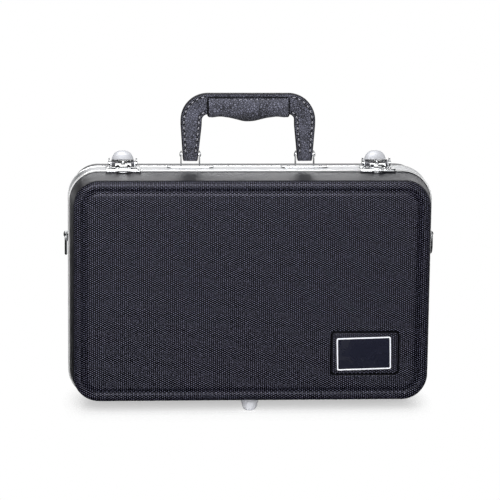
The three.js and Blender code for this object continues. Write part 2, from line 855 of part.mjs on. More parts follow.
// Catch: stepped over the frame's bead and down the lid, with the lip that the hook pulls on
function latchCatch() {
  const half = latchSheet / 2;
  const low = seat + half;
  const over = beadRise + seat + half;
  const drop = -shellInset + seat + half;
  const line = [
    [-latchPlateStart, low],
    [-lidFrameDepth + beadWidth + latchSheet, low],
    [-lidFrameDepth + beadWidth - seat, over],
    [-lidFrameDepth - seat, over],
    [-lidFrameDepth - half - gap, drop + half],
    [-catchTabReach - latchSheet, drop - shellDraft * catchSlopeShare],
  ];
  const sheet = extrudeX(ribbon(line, latchSheet), -latchHalfWidth, latchHalfWidth);
  const plan = new THREE.Shape();
  plan.moveTo(-latchHalfWidth, 0);
  plan.lineTo(latchHalfWidth, 0);
  plan.lineTo(latchHalfWidth, -catchShoulderReach + latchSheet);
  plan.quadraticCurveTo(latchHalfWidth, -catchShoulderReach,
    latchHalfWidth - latchSheet, -catchShoulderReach);
  plan.lineTo(catchTabHalfWidth + latchSheet, -catchShoulderReach);
  plan.quadraticCurveTo(catchTabHalfWidth, -catchTabReach, 0, -catchTabReach);
  plan.quadraticCurveTo(-catchTabHalfWidth, -catchTabReach,
    -catchTabHalfWidth - latchSheet, -catchShoulderReach);
  plan.lineTo(-latchHalfWidth + latchSheet, -catchShoulderReach);
  plan.quadraticCurveTo(-latchHalfWidth, -catchShoulderReach,
    -latchHalfWidth, -catchShoulderReach + latchSheet);
  const plate = keep(sheet, extrudeZ(plan, -domeHeight, domeHeight));
  const lipY = -hookLipY + half + gap;
  const lip = block(-catchTongueHalfWidth, catchTongueHalfWidth, lipY, lipY + latchSheet, low,
    seat + catchLipHeight);
  const rivets = [-1, 1].map((end) => (
    rivet(latchRivetRadius, end * (catchLipHalfWidth + latchHalfWidth) / 2, -leverPinY, seat + latchSheet)
  ));
  return join(plate, lip, ...rivets);
}

// Base plate of a handle end with two ears for the pin
function handleBracket() {
  const top = seat + bracketSheet;
  const plan = roundedShape(bracketHalfLength, bracketY - bracketHalfDepth, bracketY + bracketHalfDepth,
    bracketHalfDepth);
  const pieces = [extrudeZ(plan, seat, top)];
  [-1, 1].forEach((end) => {
    const places = [end * earHalfGap, end * (earHalfGap + earThickness)].sort((a, b) => a - b);
    pieces.push(block(places[0], places[1], bracketY - earHalfDepth, bracketY + earHalfDepth, seat,
      handlePinHeight));
    pieces.push(rodX(earHalfDepth, places[0], places[1], bracketY, handlePinHeight, roundSides));
    const x = end * (bracketHalfLength + earHalfGap) / 2;
    pieces.push(rivet(bracketRivetRadius, x, bracketY, top));
  });
  const hole = rodX(handlePinRadius + pinClearance, -bracketHalfLength, bracketHalfLength, bracketY,
    handlePinHeight, pinSides);
  return cut(join(...pieces), hole);
}

function handlePin() {
  const halfSpan = earHalfGap + earThickness + seat;
  return headedPin(handlePinRadius, handlePinHeadRadius, handlePinHead, halfSpan,
    bracketY, handlePinHeight);
}

// Flat strap bent into an arch, drawn over the frame's top in (x, z)
function handleStrap() {
  const [half, foot] = [handleHalfWidth - strapBevel, handleFootHalfWidth - strapBevel];
  const innerHalf = handleHalfWidth - legWidth + strapBevel;
  const innerFoot = handleFootHalfWidth - legFootWidth + strapBevel;
  const [top, low] = [handleTop - strapBevel, handleFoot + strapBevel];
  const under = handleTop - strapBand + strapBevel;
  const shape = new THREE.Shape();
  shape.moveTo(foot, low);
  shape.lineTo(half, handleShoulder);
  shape.lineTo(half, top - handleCorner);
  shape.absarc(half - handleCorner, top - handleCorner, handleCorner, 0, Math.PI / 2, false);
  shape.lineTo(-half + handleCorner, top);
  shape.absarc(-half + handleCorner, top - handleCorner, handleCorner, Math.PI / 2, Math.PI, false);
  shape.lineTo(-half, handleShoulder);
  shape.lineTo(-foot, low);
  shape.lineTo(-innerFoot, low);
  shape.lineTo(-innerHalf, handleShoulder);
  shape.quadraticCurveTo(-innerHalf, under, -innerHalf + handleInnerCorner, under);
  shape.lineTo(innerHalf - handleInnerCorner, under);
  shape.quadraticCurveTo(innerHalf, under, innerHalf, handleShoulder);
  shape.lineTo(innerFoot, low);
  const strap = new THREE.ExtrudeGeometry(shape, {
    depth: strapThickness - 2 * strapBevel,
    bevelThickness: strapBevel,
    bevelSize: strapBevel,
    bevelSegments: strapBevelSegments,
    curveSegments: cornerSteps,
  });
  strap.translate(0, 0, -strapThickness / 2 + strapBevel).rotateX(Math.PI / 2).translate(0, bracketY, 0);
  const bore = handlePinRadius + pinClearance;
  const hole = rodX(bore, -handleHalfWidth, handleHalfWidth, bracketY, handlePinHeight, pinSides);
  return cut(strap, hole);
}

// Padded sleeve folded up round the strap, fuller in the middle
function handleGrip() {
  const leftShares = gripStationShares.map((share) => -share).reverse();
  const rings = [...leftShares, 0, ...gripStationShares].map((share) => {
    const reach = Math.abs(share);
    const endShare = Math.max(0, (reach - gripEndShare) / (1 - gripEndShare));
    const shrink = gripEndRound * (1 - Math.sqrt(1 - endShare * endShare * gripEndFullness));
    const swell = (1 + Math.cos(Math.PI * Math.min(1, reach / gripSwellShare))) / 2;
    const hollow = gripHollowRise * Math.exp(-(((reach - gripHollowShare) / gripHollowSpread) ** 2));
    const bottom = gripEndBottom - (gripEndBottom - gripMiddleBottom) * swell + hollow + shrink;
    const middle = (gripTop + bottom) / 2;
    return Array.from({ length: gripSectionSteps }, (unused, i) => {
      const angle = (i / gripSectionSteps) * Math.PI * 2;
      const [across, along] = [Math.cos(angle), Math.sin(angle)];
      return [
        share * gripHalfLength,
        bracketY + (gripHalfDepth - shrink) * Math.sign(across) * Math.abs(across) ** gripSquareness,
        middle + (gripTop - bottom) / 2 * Math.sign(along) * Math.abs(along) ** gripSquareness,
      ];
    });
  });
  const slotHalf = strapThickness / 2 + gap;
  const slotReach = gripHalfLength + overrun;
  const slot = block(-slotReach, slotReach, bracketY - slotHalf, bracketY + slotHalf,
    handleTop - strapBand - gap, handleTop + overrun);
  return cut(skin(rings, false), slot);
}

// Clip on the end of the base frame: plate and a rolled loop for the ring's bar, drawn for x outwards
function ringClip() {
  const face = caseWidth / 2 + seat;
  const axisX = face + clipKnuckle;
  const barZ = ringHeight + clipHalfHeight - clipKnuckle;
  const plate = block(face, face + clipSheet, ringY - clipHalfDepth, ringY + clipHalfDepth,
    ringHeight - clipHalfHeight, barZ + clipKnuckle);
  const halfRoll = ringHalfWidth - 2 * ringWire;
  const rollReach = Math.min(halfRoll, clipHalfDepth);
  const boreReach = clipHalfDepth + overrun;
  const boreRadius = ringWire + pinClearance;
  const roll = rodY(clipKnuckle, ringY - rollReach, ringY + rollReach, axisX, barZ, roundSides);
  const bore = rodY(boreRadius, ringY - boreReach, ringY + boreReach, axisX, barZ, pinSides);
  return cut(join(plate, roll), bore);
}

// Ring of round wire: straight bar above, round below
function strapRing() {
  const axisX = caseWidth / 2 + seat + clipKnuckle;
  const barZ = ringHeight + clipHalfHeight - clipKnuckle;
  const radius = ringHalfWidth;
  const straight = ringDrop - radius;
  const corner = 2 * ringWire;
  const route = [];
  [[1, 0], [-1, 1]].forEach(([sign, quarter]) => {
    for (let i = 0; i <= ringCornerSteps; i += 1) {
      const angle = (quarter + i / ringCornerSteps) * Math.PI / 2;
      route.push([
        sign * (radius - corner) + corner * Math.cos(angle),
        -corner + corner * Math.sin(angle),
      ]);
    }
  });
  for (let i = 0; i <= wireSteps; i += 1) {
    const angle = Math.PI + (i / wireSteps) * Math.PI;
    route.push([radius * Math.cos(angle), -straight + radius * Math.sin(angle)]);
  }
  const rings = route.map((point, i) => {
    const before = route[(i + route.length - 1) % route.length];
    const after = route[(i + 1) % route.length];
    const along = unit(before, after);
    return Array.from({ length: wireSides }, (unused, side) => {
      const angle = (side / wireSides) * Math.PI * 2;
      const outwards = ringWire * Math.cos(angle);
      return [
        axisX + ringWire * Math.sin(angle),
        ringY + point[0] + along[1] * outwards,
        barZ + point[1] - along[0] * outwards,
      ];
    });
  });
  return skin(rings, true);
}

// Domed foot on a flat, cut off along the shell's sloping side
function foot(side, reach, depth, frameDepth) {
  const profile = [new THREE.Vector2(0, 0), new THREE.Vector2(footFlatRadius, 0)];
  for (let i = 1; i <= footSteps; i += 1) {
    const angle = (i / footSteps) * Math.PI / 2;
    profile.push(new THREE.Vector2(
      footFlatRadius + (footStepRadius - footFlatRadius) * Math.sin(angle),
      (footHeight - footStep) * (1 - Math.cos(angle)),
    ));
  }
  profile.push(new THREE.Vector2(footRadius, footHeight - footStep));
  profile.push(new THREE.Vector2(footRadius, footHeight + overrun));
  profile.push(new THREE.Vector2(0, footHeight + overrun));
  const body = new THREE.LatheGeometry(profile, footSides).rotateX(Math.PI / 2);
  const slope = Math.atan2(shellDraft, depth - edgeRound - frameDepth);
  const surface = frameBottom + shellInset + (reach - frameDepth) * Math.tan(slope);
  const reachOut = footRadius + overrun;
  const knife = block(-reachOut, reachOut, -reachOut, reachOut, 0, footHeight + 2 * overrun);
  knife.rotateX(side * slope).translate(0, 0, surface - seat - gap / 2);
  return cut(body, knife).translate(0, seamY + side * reach, 0);
}

const clarinetCase = new THREE.Group();

function add(name, geometry, surface, parent = clarinetCase) {
  const mesh = new THREE.Mesh(geometry, surface);
  mesh.name = name;
  parent.add(mesh);
}

function groupAt(x, y, z) {
  const group = new THREE.Group();
  group.position.set(x, y, z);
  clarinetCase.add(group);
  return group;
}

add('base_shell', shellGeometry(baseSide, baseDepth, baseFrameDepth), shellMaterial);
add('lid_shell', lidShell(), shellMaterial);
add('base_frame', baseFrame(), aluminium);
add('lid_frame', lidFrame(), aluminium);
add('badge_plate', badgePlate(), badgeMaterial);
add('base_tray', baseTray(), plush);
add('lid_lining', lidLining(), plush);

const ends = [['left', -1], ['right', 1]];
ends.forEach(([name, sign]) => {
  const hinge = groupAt(sign * hingeSpread, 0, 0);
  add(`${name}_hinge_base_leaf`, hingeLeaf(baseSide, 0), chrome, hinge);
  add(`${name}_hinge_lid_leaf`, hingeLeaf(lidSide, 1), chrome, hinge);
  add(`${name}_hinge_pin`, hingePin(), chrome, hinge);

  const latch = groupAt(sign * latchSpread, seamY, frameTop);
  add(`${name}_latch_plate`, latchPlate(), chrome, latch);
  add(`${name}_latch_pin`, leverPin(), chrome, latch);
  add(`${name}_latch_lever`, latchLever(), chrome, latch);
  add(`${name}_hook_pin`, hookPin(), chrome, latch);
  add(`${name}_latch_hook`, drawHook(), chrome, latch);
  add(`${name}_latch_catch`, latchCatch(), chrome, latch);

  const bracket = groupAt(handleCentreX + sign * bracketSpread, seamY, frameTop);
  add(`${name}_handle_bracket`, handleBracket(), chrome, bracket);
  add(`${name}_handle_pin`, handlePin(), chrome, bracket);

  const ring = groupAt(0, seamY, 0);
  ring.rotation.z = sign > 0 ? 0 : Math.PI;
  ring.position.y = seamY + (sign > 0 ? 0 : 2 * ringY);
  add(`${name}_ring_clip`, ringClip(), chrome, ring);
  add(`${name}_strap_ring`, strapRing(), chrome, ring);

  const rearFoot = groupAt(sign * baseFootSpread, 0, 0);
  add(`${name}_rear_foot`, foot(baseSide, baseFootReach, baseDepth, baseFrameDepth), chrome, rearFoot);
});

const handle = groupAt(handleCentreX, seamY, frameTop);
add('handle_strap', handleStrap(), leather, handle);
add('handle_grip', handleGrip(), leather, handle);
add('front_foot', foot(lidSide, lidFootReach, lidDepth, lidFrameDepth), chrome);

export default clarinetCase;
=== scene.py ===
import math
import random

import bmesh
import bpy
import numpy as np
from mathutils import Matrix, Vector
from mathutils import noise as fieldNoise


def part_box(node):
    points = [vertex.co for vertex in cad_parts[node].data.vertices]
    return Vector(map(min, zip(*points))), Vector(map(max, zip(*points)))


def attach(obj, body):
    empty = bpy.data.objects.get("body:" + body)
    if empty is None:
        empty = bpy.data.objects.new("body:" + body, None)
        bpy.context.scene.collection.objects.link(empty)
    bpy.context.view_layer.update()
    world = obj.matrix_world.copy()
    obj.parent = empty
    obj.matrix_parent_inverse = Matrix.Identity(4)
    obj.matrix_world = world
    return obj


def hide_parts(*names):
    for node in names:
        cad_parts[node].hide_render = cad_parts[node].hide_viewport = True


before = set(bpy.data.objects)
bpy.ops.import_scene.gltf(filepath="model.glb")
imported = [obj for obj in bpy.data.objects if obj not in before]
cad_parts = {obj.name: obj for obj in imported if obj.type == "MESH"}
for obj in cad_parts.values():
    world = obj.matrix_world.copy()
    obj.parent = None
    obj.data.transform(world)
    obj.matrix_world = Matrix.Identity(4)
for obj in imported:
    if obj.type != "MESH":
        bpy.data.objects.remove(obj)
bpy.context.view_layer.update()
mm = 0.001

# Sizes below are in millimetres, as on the drawing, and toMetres brings them into the scene.


def toMetres(points):
    return [tuple(value * mm for value in point) for point in points]


def boxInMillimetres(node):
    low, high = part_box(node)
    return low / mm, high / mm


lidFrameLow, lidFrameHigh = boxInMillimetres("lid_frame")
baseFrameHigh = boxInMillimetres("base_frame")[1]
lidShellLow = boxInMillimetres("lid_shell")[0]
baseShellHigh = boxInMillimetres("base_shell")[1]

caseForm = {
    "seamGap": 0.15,  # each frame stops this far from the seam
    "beadRise": 0.5,
    "corner": 30,
    "smallestCorner": 6,
    "cornerSteps": 20,
}
halfWidth = (lidFrameHigh.x - lidFrameLow.x) / 2 - caseForm["beadRise"]
halfHeight = (lidFrameHigh.z - lidFrameLow.z) / 2 - caseForm["beadRise"]
middleZ = (lidFrameHigh.z + lidFrameLow.z) / 2
frameTop = middleZ + halfHeight
frameBottom = middleZ - halfHeight
seamY = lidFrameHigh.y + caseForm["seamGap"]
lidDepth = seamY - lidShellLow.y
baseDepth = baseShellHigh.y - seamY
lidFrameDepth = seamY - lidFrameLow.y
baseFrameDepth = baseFrameHigh.y - seamY
lidSide, baseSide = -1, 1
sides = (("left", -1), ("right", 1))

print("case from the frame:", round(halfWidth * 2, 2), "x", round(halfHeight * 2, 2), "mm")


# Node helpers

def socketOf(sockets, name):
    return next(s for s in sockets if s.name == name and s.enabled)


def place(tree, kind, values=None, **settings):
    node = tree.nodes.new(kind)
    for key, value in settings.items():
        setattr(node, key, value)
    for key, value in (values or {}).items():
        target = node.inputs[key] if isinstance(key, int) else socketOf(node.inputs, key)
        if isinstance(value, bpy.types.NodeSocket):
            tree.links.new(value, target)
        else:
            target.default_value = value
    return node


def maths(tree, operation, first, second=0.0, third=None):
    values = {0: first, 1: second}
    if third is not None:
        values[2] = third
    return place(tree, "ShaderNodeMath", values, operation=operation).outputs[0]


def rescale(tree, value, fromLow, fromHigh, toLow, toHigh, smooth=False):
    kind = "SMOOTHSTEP" if smooth else "LINEAR"
    return place(tree, "ShaderNodeMapRange", {
        "Value": value, "From Min": fromLow, "From Max": fromHigh, "To Min": toLow, "To Max": toHigh,
    }, interpolation_type=kind).outputs[0]


def blendColours(tree, factor, first, second):
    node = place(tree, "ShaderNodeMix", {0: factor, 6: first, 7: second}, data_type="RGBA")
    return node.outputs[2]


def noise(tree, vector, scale, detail=2.0, roughness=0.5, distortion=0.0):
    return place(tree, "ShaderNodeTexNoise", {
        "Vector": vector, "Scale": scale, "Detail": detail, "Roughness": roughness,
        "Distortion": distortion,
    }).outputs["Fac"]


def newGroup(name, inputs, outputs):
    tree = bpy.data.node_groups.new(name, "ShaderNodeTree")
    for label, kind, value in inputs:
        socket = tree.interface.new_socket(label, in_out="INPUT", socket_type=kind)
        if value is not None:
            socket.default_value = value
    for label, kind in outputs:
        tree.interface.new_socket(label, in_out="OUTPUT", socket_type=kind)
    return tree, tree.nodes.new("NodeGroupInput").outputs, tree.nodes.new("NodeGroupOutput").inputs


def useGroup(tree, group, values=None):
    node = tree.nodes.new("ShaderNodeGroup")
    node.node_tree = group
    for key, value in (values or {}).items():
        if isinstance(value, bpy.types.NodeSocket):
            tree.links.new(value, node.inputs[key])
        else:
            node.inputs[key].default_value = value
    return node.outputs


def objectPlace(tree):
    return place(tree, "ShaderNodeTexCoord").outputs["Object"]


# Effects that several finishes share

embossForm = {
    "foot": -0.35,  # where a pip rises, of the two waves' product
    # crestAndGlint: the part of the waves' product where a pip's top is painted pale as a highlight;
    # the glint noise makes it weaker on some pips
    "crestAndGlint": (0.6, 0.85), "glintNoiseScale": 420.0, "glintNoiseRange": (0.36, 0.64), "weakestGlint": 0.45,
}


def makeEmbossGroup():
    # Staggered oval pips, as rolled into the sheet before it is formed. Painted Glint marks each pip's
    # top for a painted highlight, which is stronger on some pips than on others.
    tree, given, wanted = newGroup("embossedPips", [
        ("Place", "NodeSocketVector", None),
        ("Pitch Across", "NodeSocketFloat", 0.0041),
        ("Pitch Along", "NodeSocketFloat", 0.00217),
    ], [("Height", "NodeSocketFloat"), ("Painted Glint", "NodeSocketFloat")])
    parts = place(tree, "ShaderNodeSeparateXYZ", {0: given["Place"]}).outputs
    across = maths(tree, "DIVIDE", parts["X"], given["Pitch Across"])
    along = maths(tree, "DIVIDE", parts["Y"], given["Pitch Along"])
    waves = [maths(tree, "COSINE", maths(tree, "MULTIPLY", value, 2 * math.pi))
             for value in (across, along)]
    product = maths(tree, "MULTIPLY", waves[0], waves[1])
    height = rescale(tree, product, embossForm["foot"], 1.0, 0.0, 1.0, smooth=True)
    tree.links.new(height, wanted["Height"])
    glintNoise = noise(tree, given["Place"], embossForm["glintNoiseScale"], detail=1.0)
    glintStrength = rescale(tree, glintNoise, *embossForm["glintNoiseRange"], embossForm["weakestGlint"], 1.0)
    top = rescale(tree, product, *embossForm["crestAndGlint"], 0.0, 1.0)
    tree.links.new(maths(tree, "MULTIPLY", top, glintStrength), wanted["Painted Glint"])
    return tree


handlingForm = {
    "patchRough": 0.62, "patchWarp": 0.6, "patches": (0.42, 0.68), "speckScale": 2600.0,
    "specks": (0.66, 0.78),
}


def makeHandlingGroup():
    # Faint smudges in patches, and specks of dust.
    tree, given, wanted = newGroup("handlingMarks", [
        ("Size", "NodeSocketFloat", 60.0),
        ("Amount", "NodeSocketFloat", 1.0),
    ], [("Smudge", "NodeSocketFloat"), ("Dust", "NodeSocketFloat")])
    where = objectPlace(tree)
    patches = noise(tree, where, given["Size"], detail=4.0, roughness=handlingForm["patchRough"],
                    distortion=handlingForm["patchWarp"])
    patches = rescale(tree, patches, *handlingForm["patches"], 0.0, 1.0, smooth=True)
    specks = noise(tree, where, handlingForm["speckScale"], detail=1.0)
    specks = rescale(tree, specks, *handlingForm["specks"], 0.0, 1.0)
    tree.links.new(maths(tree, "MULTIPLY", patches, given["Amount"]), wanted["Smudge"])
    tree.links.new(maths(tree, "MULTIPLY", specks, given["Amount"]), wanted["Dust"])
    return tree


leatherForm = {
    "warpScale": 500.0, "warp": 0.0006, "pebble": 0.28, "creaseRough": 0.7, "creaseWarp": 1.4,
    "foldFrom": 0.86, "foldDepth": -0.7, "driftScale": 45.0, "drift": (0.3, 0.7),
    "pebbleShare": 0.7, "driftShare": 0.3,
}


def makeLeatherGroup():
    # Pebbled leatherette: small cells, creases between them and slow colour drift.
    tree, given, wanted = newGroup("leatherGrain", [
        ("Cells", "NodeSocketFloat", 900.0),
        ("Creases", "NodeSocketFloat", 140.0),
    ], [("Height", "NodeSocketFloat"), ("Tint", "NodeSocketFloat")])
    where = objectPlace(tree)
    warp = place(tree, "ShaderNodeTexNoise", {
        "Vector": where, "Scale": leatherForm["warpScale"], "Detail": 1.0,
    }).outputs["Color"]
    bent = place(tree, "ShaderNodeVectorMath", {
        0: warp, 1: [leatherForm["warp"]] * 3, 2: where,
    }, operation="MULTIPLY_ADD").outputs[0]
    cells = place(tree, "ShaderNodeTexVoronoi", {"Vector": bent, "Scale": given["Cells"]},
                  feature="DISTANCE_TO_EDGE").outputs["Distance"]
    pebble = rescale(tree, cells, 0.0, leatherForm["pebble"], 0.0, 1.0, smooth=True)
    crease = noise(tree, where, given["Creases"], detail=5.0, roughness=leatherForm["creaseRough"],
                   distortion=leatherForm["creaseWarp"])
    folded = maths(tree, "ABSOLUTE", maths(tree, "MULTIPLY_ADD", crease, 2.0, -1.0))
    folded = maths(tree, "SUBTRACT", 1.0, folded)
    deep = rescale(tree, folded, leatherForm["foldFrom"], 1.0, 0.0, leatherForm["foldDepth"],
                   smooth=True)
    drift = noise(tree, where, leatherForm["driftScale"], detail=3.0)
    tint = maths(tree, "ADD", rescale(tree, pebble, 0.0, 1.0, 0.0, leatherForm["pebbleShare"]),
                 rescale(tree, drift, *leatherForm["drift"], 0.0, leatherForm["driftShare"]))
    tree.links.new(maths(tree, "ADD", pebble, deep), wanted["Height"])
    tree.links.new(tint, wanted["Tint"])
    return tree


pileForm = {
    "fibreRough": 0.8, "strokeScale": 26.0, "strokeRough": 0.55, "strokeWarp": 1.8,
    "strokes": (0.38, 0.62),
}


def makePileGroup():
    # Short plush pile: fibre ends, and strokes where the nap was brushed another way.
    tree, given, wanted = newGroup("plushPile", [
        ("Fibres", "NodeSocketFloat", 1500.0),
    ], [("Height", "NodeSocketFloat"), ("Stroke", "NodeSocketFloat")])
    where = objectPlace(tree)
    fibres = noise(tree, where, given["Fibres"], detail=2.0, roughness=pileForm["fibreRough"])
    stroke = noise(tree, where, pileForm["strokeScale"], detail=3.0,
                   roughness=pileForm["strokeRough"], distortion=pileForm["strokeWarp"])
    stroke = rescale(tree, stroke, *pileForm["strokes"], 0.0, 1.0, smooth=True)
    tree.links.new(fibres, wanted["Height"])
    tree.links.new(stroke, wanted["Stroke"])
    return tree


embossedPips = makeEmbossGroup()
handlingMarks = makeHandlingGroup()
leatherGrain = makeLeatherGroup()
plushPile = makePileGroup()


# Finishes

def newFinish(name, **constants):
    material = bpy.data.materials.new(name)
    material.use_nodes = True
    tree = material.node_tree
    tree.nodes.clear()
    shader = tree.nodes.new("ShaderNodeBsdfPrincipled")
    output = tree.nodes.new("ShaderNodeOutputMaterial")
    tree.links.new(shader.outputs["BSDF"], output.inputs["Surface"])
    for key, value in constants.items():
        socketOf(shader.inputs, key.replace("_", " ")).default_value = value
    return material, tree, shader.inputs


def marksOf(tree, size):
    return useGroup(tree, handlingMarks, {"Size": size, "Amount": 1.0})


def addBump(tree, inputs, height, distance, strength=1.0, below=None):
    values = {"Height": height, "Distance": distance, "Strength": strength}
    if below is not None:
        values["Normal"] = below
    normal = place(tree, "ShaderNodeBump", values).outputs["Normal"]
    tree.links.new(normal, inputs["Normal"])
    return normal


shellFinish = {
    # deep: the pips' valleys, painted near black as shade; crestAndGlint: their tops, painted pale as a
    # highlight
    "deep": (0.0005, 0.0005, 0.0012, 1),
    "crestAndGlint": (0.21, 0.21, 0.315, 1),
    "dust": (0.16, 0.16, 0.17, 1),
    "pitchAcross": 0.0041,
    "pitchAlong": 0.00217,
    "height": 0.0003,
    "stretched": (0.009, 0.009, 0.012, 1),  # on the sides, where forming has flattened the grain
    "roughFace": 0.16,
    "roughStretched": 0.47,
    "smudgeRough": 0.08,
    "gloss": 0.42,
    "glossTint": (0.84, 0.84, 1.0, 1),
    # grooveFloor colour and grooveGloss: near black and less glossy, painted shade on the grooves' deep
    # walls
    "grooveFloor": (0.0015, 0.0015, 0.002, 1),
    "grooveGloss": 0.15,
    "marks": 18.0,
    "dustShare": 0.18,
    "fineGrain": 3800.0,
    "fineHeight": 0.04,
}


def makeShellMaterial(name, stretched, gloss):
    material, tree, inputs = newFinish(name, IOR=1.5, Specular_IOR_Level=gloss,
                                       Specular_Tint=shellFinish["glossTint"])
    sheet = place(tree, "ShaderNodeAttribute", attribute_name="sheetPlace").outputs["Vector"]
    pips = useGroup(tree, embossedPips, {
        "Place": sheet,
        "Pitch Across": shellFinish["pitchAcross"],
        "Pitch Along": shellFinish["pitchAlong"],
    })
    drawn = place(tree, "ShaderNodeAttribute", attribute_name="grainShare").outputs["Fac"]
    marks = marksOf(tree, shellFinish["marks"])
    # The pips' tops take the pale colour, a painted highlight, and the rest the near-black one, a
    # painted shade.
    paintedGlint = maths(tree, "MULTIPLY", pips["Painted Glint"], drawn)
    plain = blendColours(tree, paintedGlint, shellFinish["deep"], shellFinish["crestAndGlint"])
    plain = blendColours(tree, drawn, stretched, plain)
    dusty = maths(tree, "MULTIPLY", marks["Dust"], shellFinish["dustShare"])
    tree.links.new(blendColours(tree, dusty, plain, shellFinish["dust"]), inputs["Base Color"])
    rough = rescale(tree, drawn, 0.0, 1.0, shellFinish["roughStretched"], shellFinish["roughFace"])
    rough = maths(tree, "MULTIPLY_ADD", marks["Smudge"], shellFinish["smudgeRough"], rough)
    tree.links.new(rough, inputs["Roughness"])
    where = objectPlace(tree)
    fine = noise(tree, where, shellFinish["fineGrain"], detail=2.0)
    raised = maths(tree, "MULTIPLY", pips["Height"], drawn)
    height = maths(tree, "MULTIPLY_ADD", fine, shellFinish["fineHeight"], raised)
    addBump(tree, inputs, height, shellFinish["height"])
    return material


aluminiumFinish = {
    "satin": (0.42, 0.43, 0.445, 1),
    "bright": (0.93, 0.935, 0.94, 1),
    "satinRough": 0.28,
    "brightRough": 0.12,
    "smudge": (0.55, 0.55, 0.56, 1),
    "smudgeShare": 0.10,
    "smudgeRough": 0.09,
    "metal": 0.5,
    "marks": 35.0,
    "lineScale": (3.0, 9000.0, 3.0),
    "lineHeight": 0.00001,
    "lineStrength": 0.15,
}
beadShineStart, beadShineFull = 1.6, 1.2  # from the frame's outer edge inwards, where the bead is pale and glossy: partly a polished bead, partly a painted highlight line


def makeAluminiumMaterial(name, beadFrom, beadTo):
    # The drawn lines run round the case, so they change only across its thickness.
    material, tree, inputs = newFinish(name, Metallic=aluminiumFinish["metal"])
    where = objectPlace(tree)
    parts = place(tree, "ShaderNodeSeparateXYZ", {0: where}).outputs
    drawn = place(tree, "ShaderNodeMapping", {
        "Vector": where, "Scale": aluminiumFinish["lineScale"],
    }).outputs[0]
    lines = noise(tree, drawn, 1.0, detail=2.0)
    isBead = rescale(tree, parts["Y"], beadFrom * mm, beadTo * mm, 0.0, 1.0, smooth=True)
    marks = marksOf(tree, aluminiumFinish["marks"])
    # The bead's band is much paler than the satin: partly polish, partly a painted highlight.
    shade = blendColours(tree, isBead, aluminiumFinish["satin"], aluminiumFinish["bright"])
    touched = maths(tree, "MULTIPLY", marks["Smudge"], aluminiumFinish["smudgeShare"])
    shade = blendColours(tree, touched, shade, aluminiumFinish["smudge"])
    tree.links.new(shade, inputs["Base Color"])
    satin = rescale(tree, marks["Smudge"], 0.0, 1.0, aluminiumFinish["satinRough"],
                    aluminiumFinish["satinRough"] + aluminiumFinish["smudgeRough"])
    rough = place(tree, "ShaderNodeMix", {
        0: isBead, 2: satin, 3: aluminiumFinish["brightRough"],
    }).outputs[0]
    tree.links.new(rough, inputs["Roughness"])
    addBump(tree, inputs, lines, aluminiumFinish["lineHeight"], aluminiumFinish["lineStrength"])
    return material


platedFinish = {
    "bright": {
        "clean": (0.76, 0.77, 0.785, 1), "worn": (0.62, 0.62, 0.63, 1),
        "metal": 1.0, "rough": (0.06, 0.17),
    },
    "satin": {
        "clean": (0.60, 0.61, 0.645, 1), "worn": (0.52, 0.53, 0.56, 1),
        "metal": 0.2, "rough": (0.42, 0.52),
    },
    "frosted": {
        "clean": (0.92, 0.93, 0.98, 1), "worn": (0.80, 0.81, 0.86, 1),
        "metal": 0.1, "rough": (0.36, 0.5),
    },
    # innerShade: dark steel for the latch's inner parts, painted shade where light hardly reaches
    "innerShade": {
        "clean": (0.16, 0.16, 0.175, 1), "worn": (0.08, 0.08, 0.09, 1),
        "metal": 0.7, "rough": (0.4, 0.6),
    },
}
platingForm = {
    "marks": 120.0, "smudgeShare": 0.35, "ripple": 380.0, "rippleHeight": 0.00006,
    "rippleStrength": 0.35,
}


def makePlatedMaterial(name, kind):
    form = platedFinish[kind]
    material, tree, inputs = newFinish(name, Metallic=form["metal"])
    marks = marksOf(tree, platingForm["marks"])
    touched = maths(tree, "MULTIPLY", marks["Smudge"], platingForm["smudgeShare"])
    tree.links.new(blendColours(tree, touched, form["clean"], form["worn"]), inputs["Base Color"])
    tree.links.new(rescale(tree, marks["Smudge"], 0.0, 1.0, *form["rough"]), inputs["Roughness"])
    where = objectPlace(tree)
    ripple = noise(tree, where, platingForm["ripple"], detail=1.0)
    addBump(tree, inputs, ripple, platingForm["rippleHeight"], platingForm["rippleStrength"])
    return material


leatherFinish = {
    # shadedValley and crestAndGlint: the grain's creases and pebble tops, partly the leather's own
    # tone, partly painted shade and painted highlight
    "shadedValley": (0.003, 0.003, 0.006, 1),
    "crestAndGlint": (0.19, 0.195, 0.265, 1),
    "edge": (0.012, 0.012, 0.016, 1),
    "edgeWorn": (0.024, 0.024, 0.030, 1),
    "hole": (0.002, 0.002, 0.003, 1),
    "holeWorn": (0.006, 0.006, 0.008, 1),
    "bump": 0.0005,
    "cells": 520.0, "creases": 170.0,  # how many to a metre on the strap
    "gripCells": 470.0, "gripCreases": 120.0,
    "undersideShadeFrom": 46, "undersideShadeTo": 62, "undersideShadeLeast": 0.25,  # painted shade: the sleeve's colour darkens towards its underside
    "marks": 55.0, "rough": (0.42, 0.58),
    "edgeMarks": 90.0, "edgeRough": (0.5, 0.65), "edgeHeight": 0.00008,
    "holeMarks": 400.0, "holeRough": (0.8, 1.0),
}


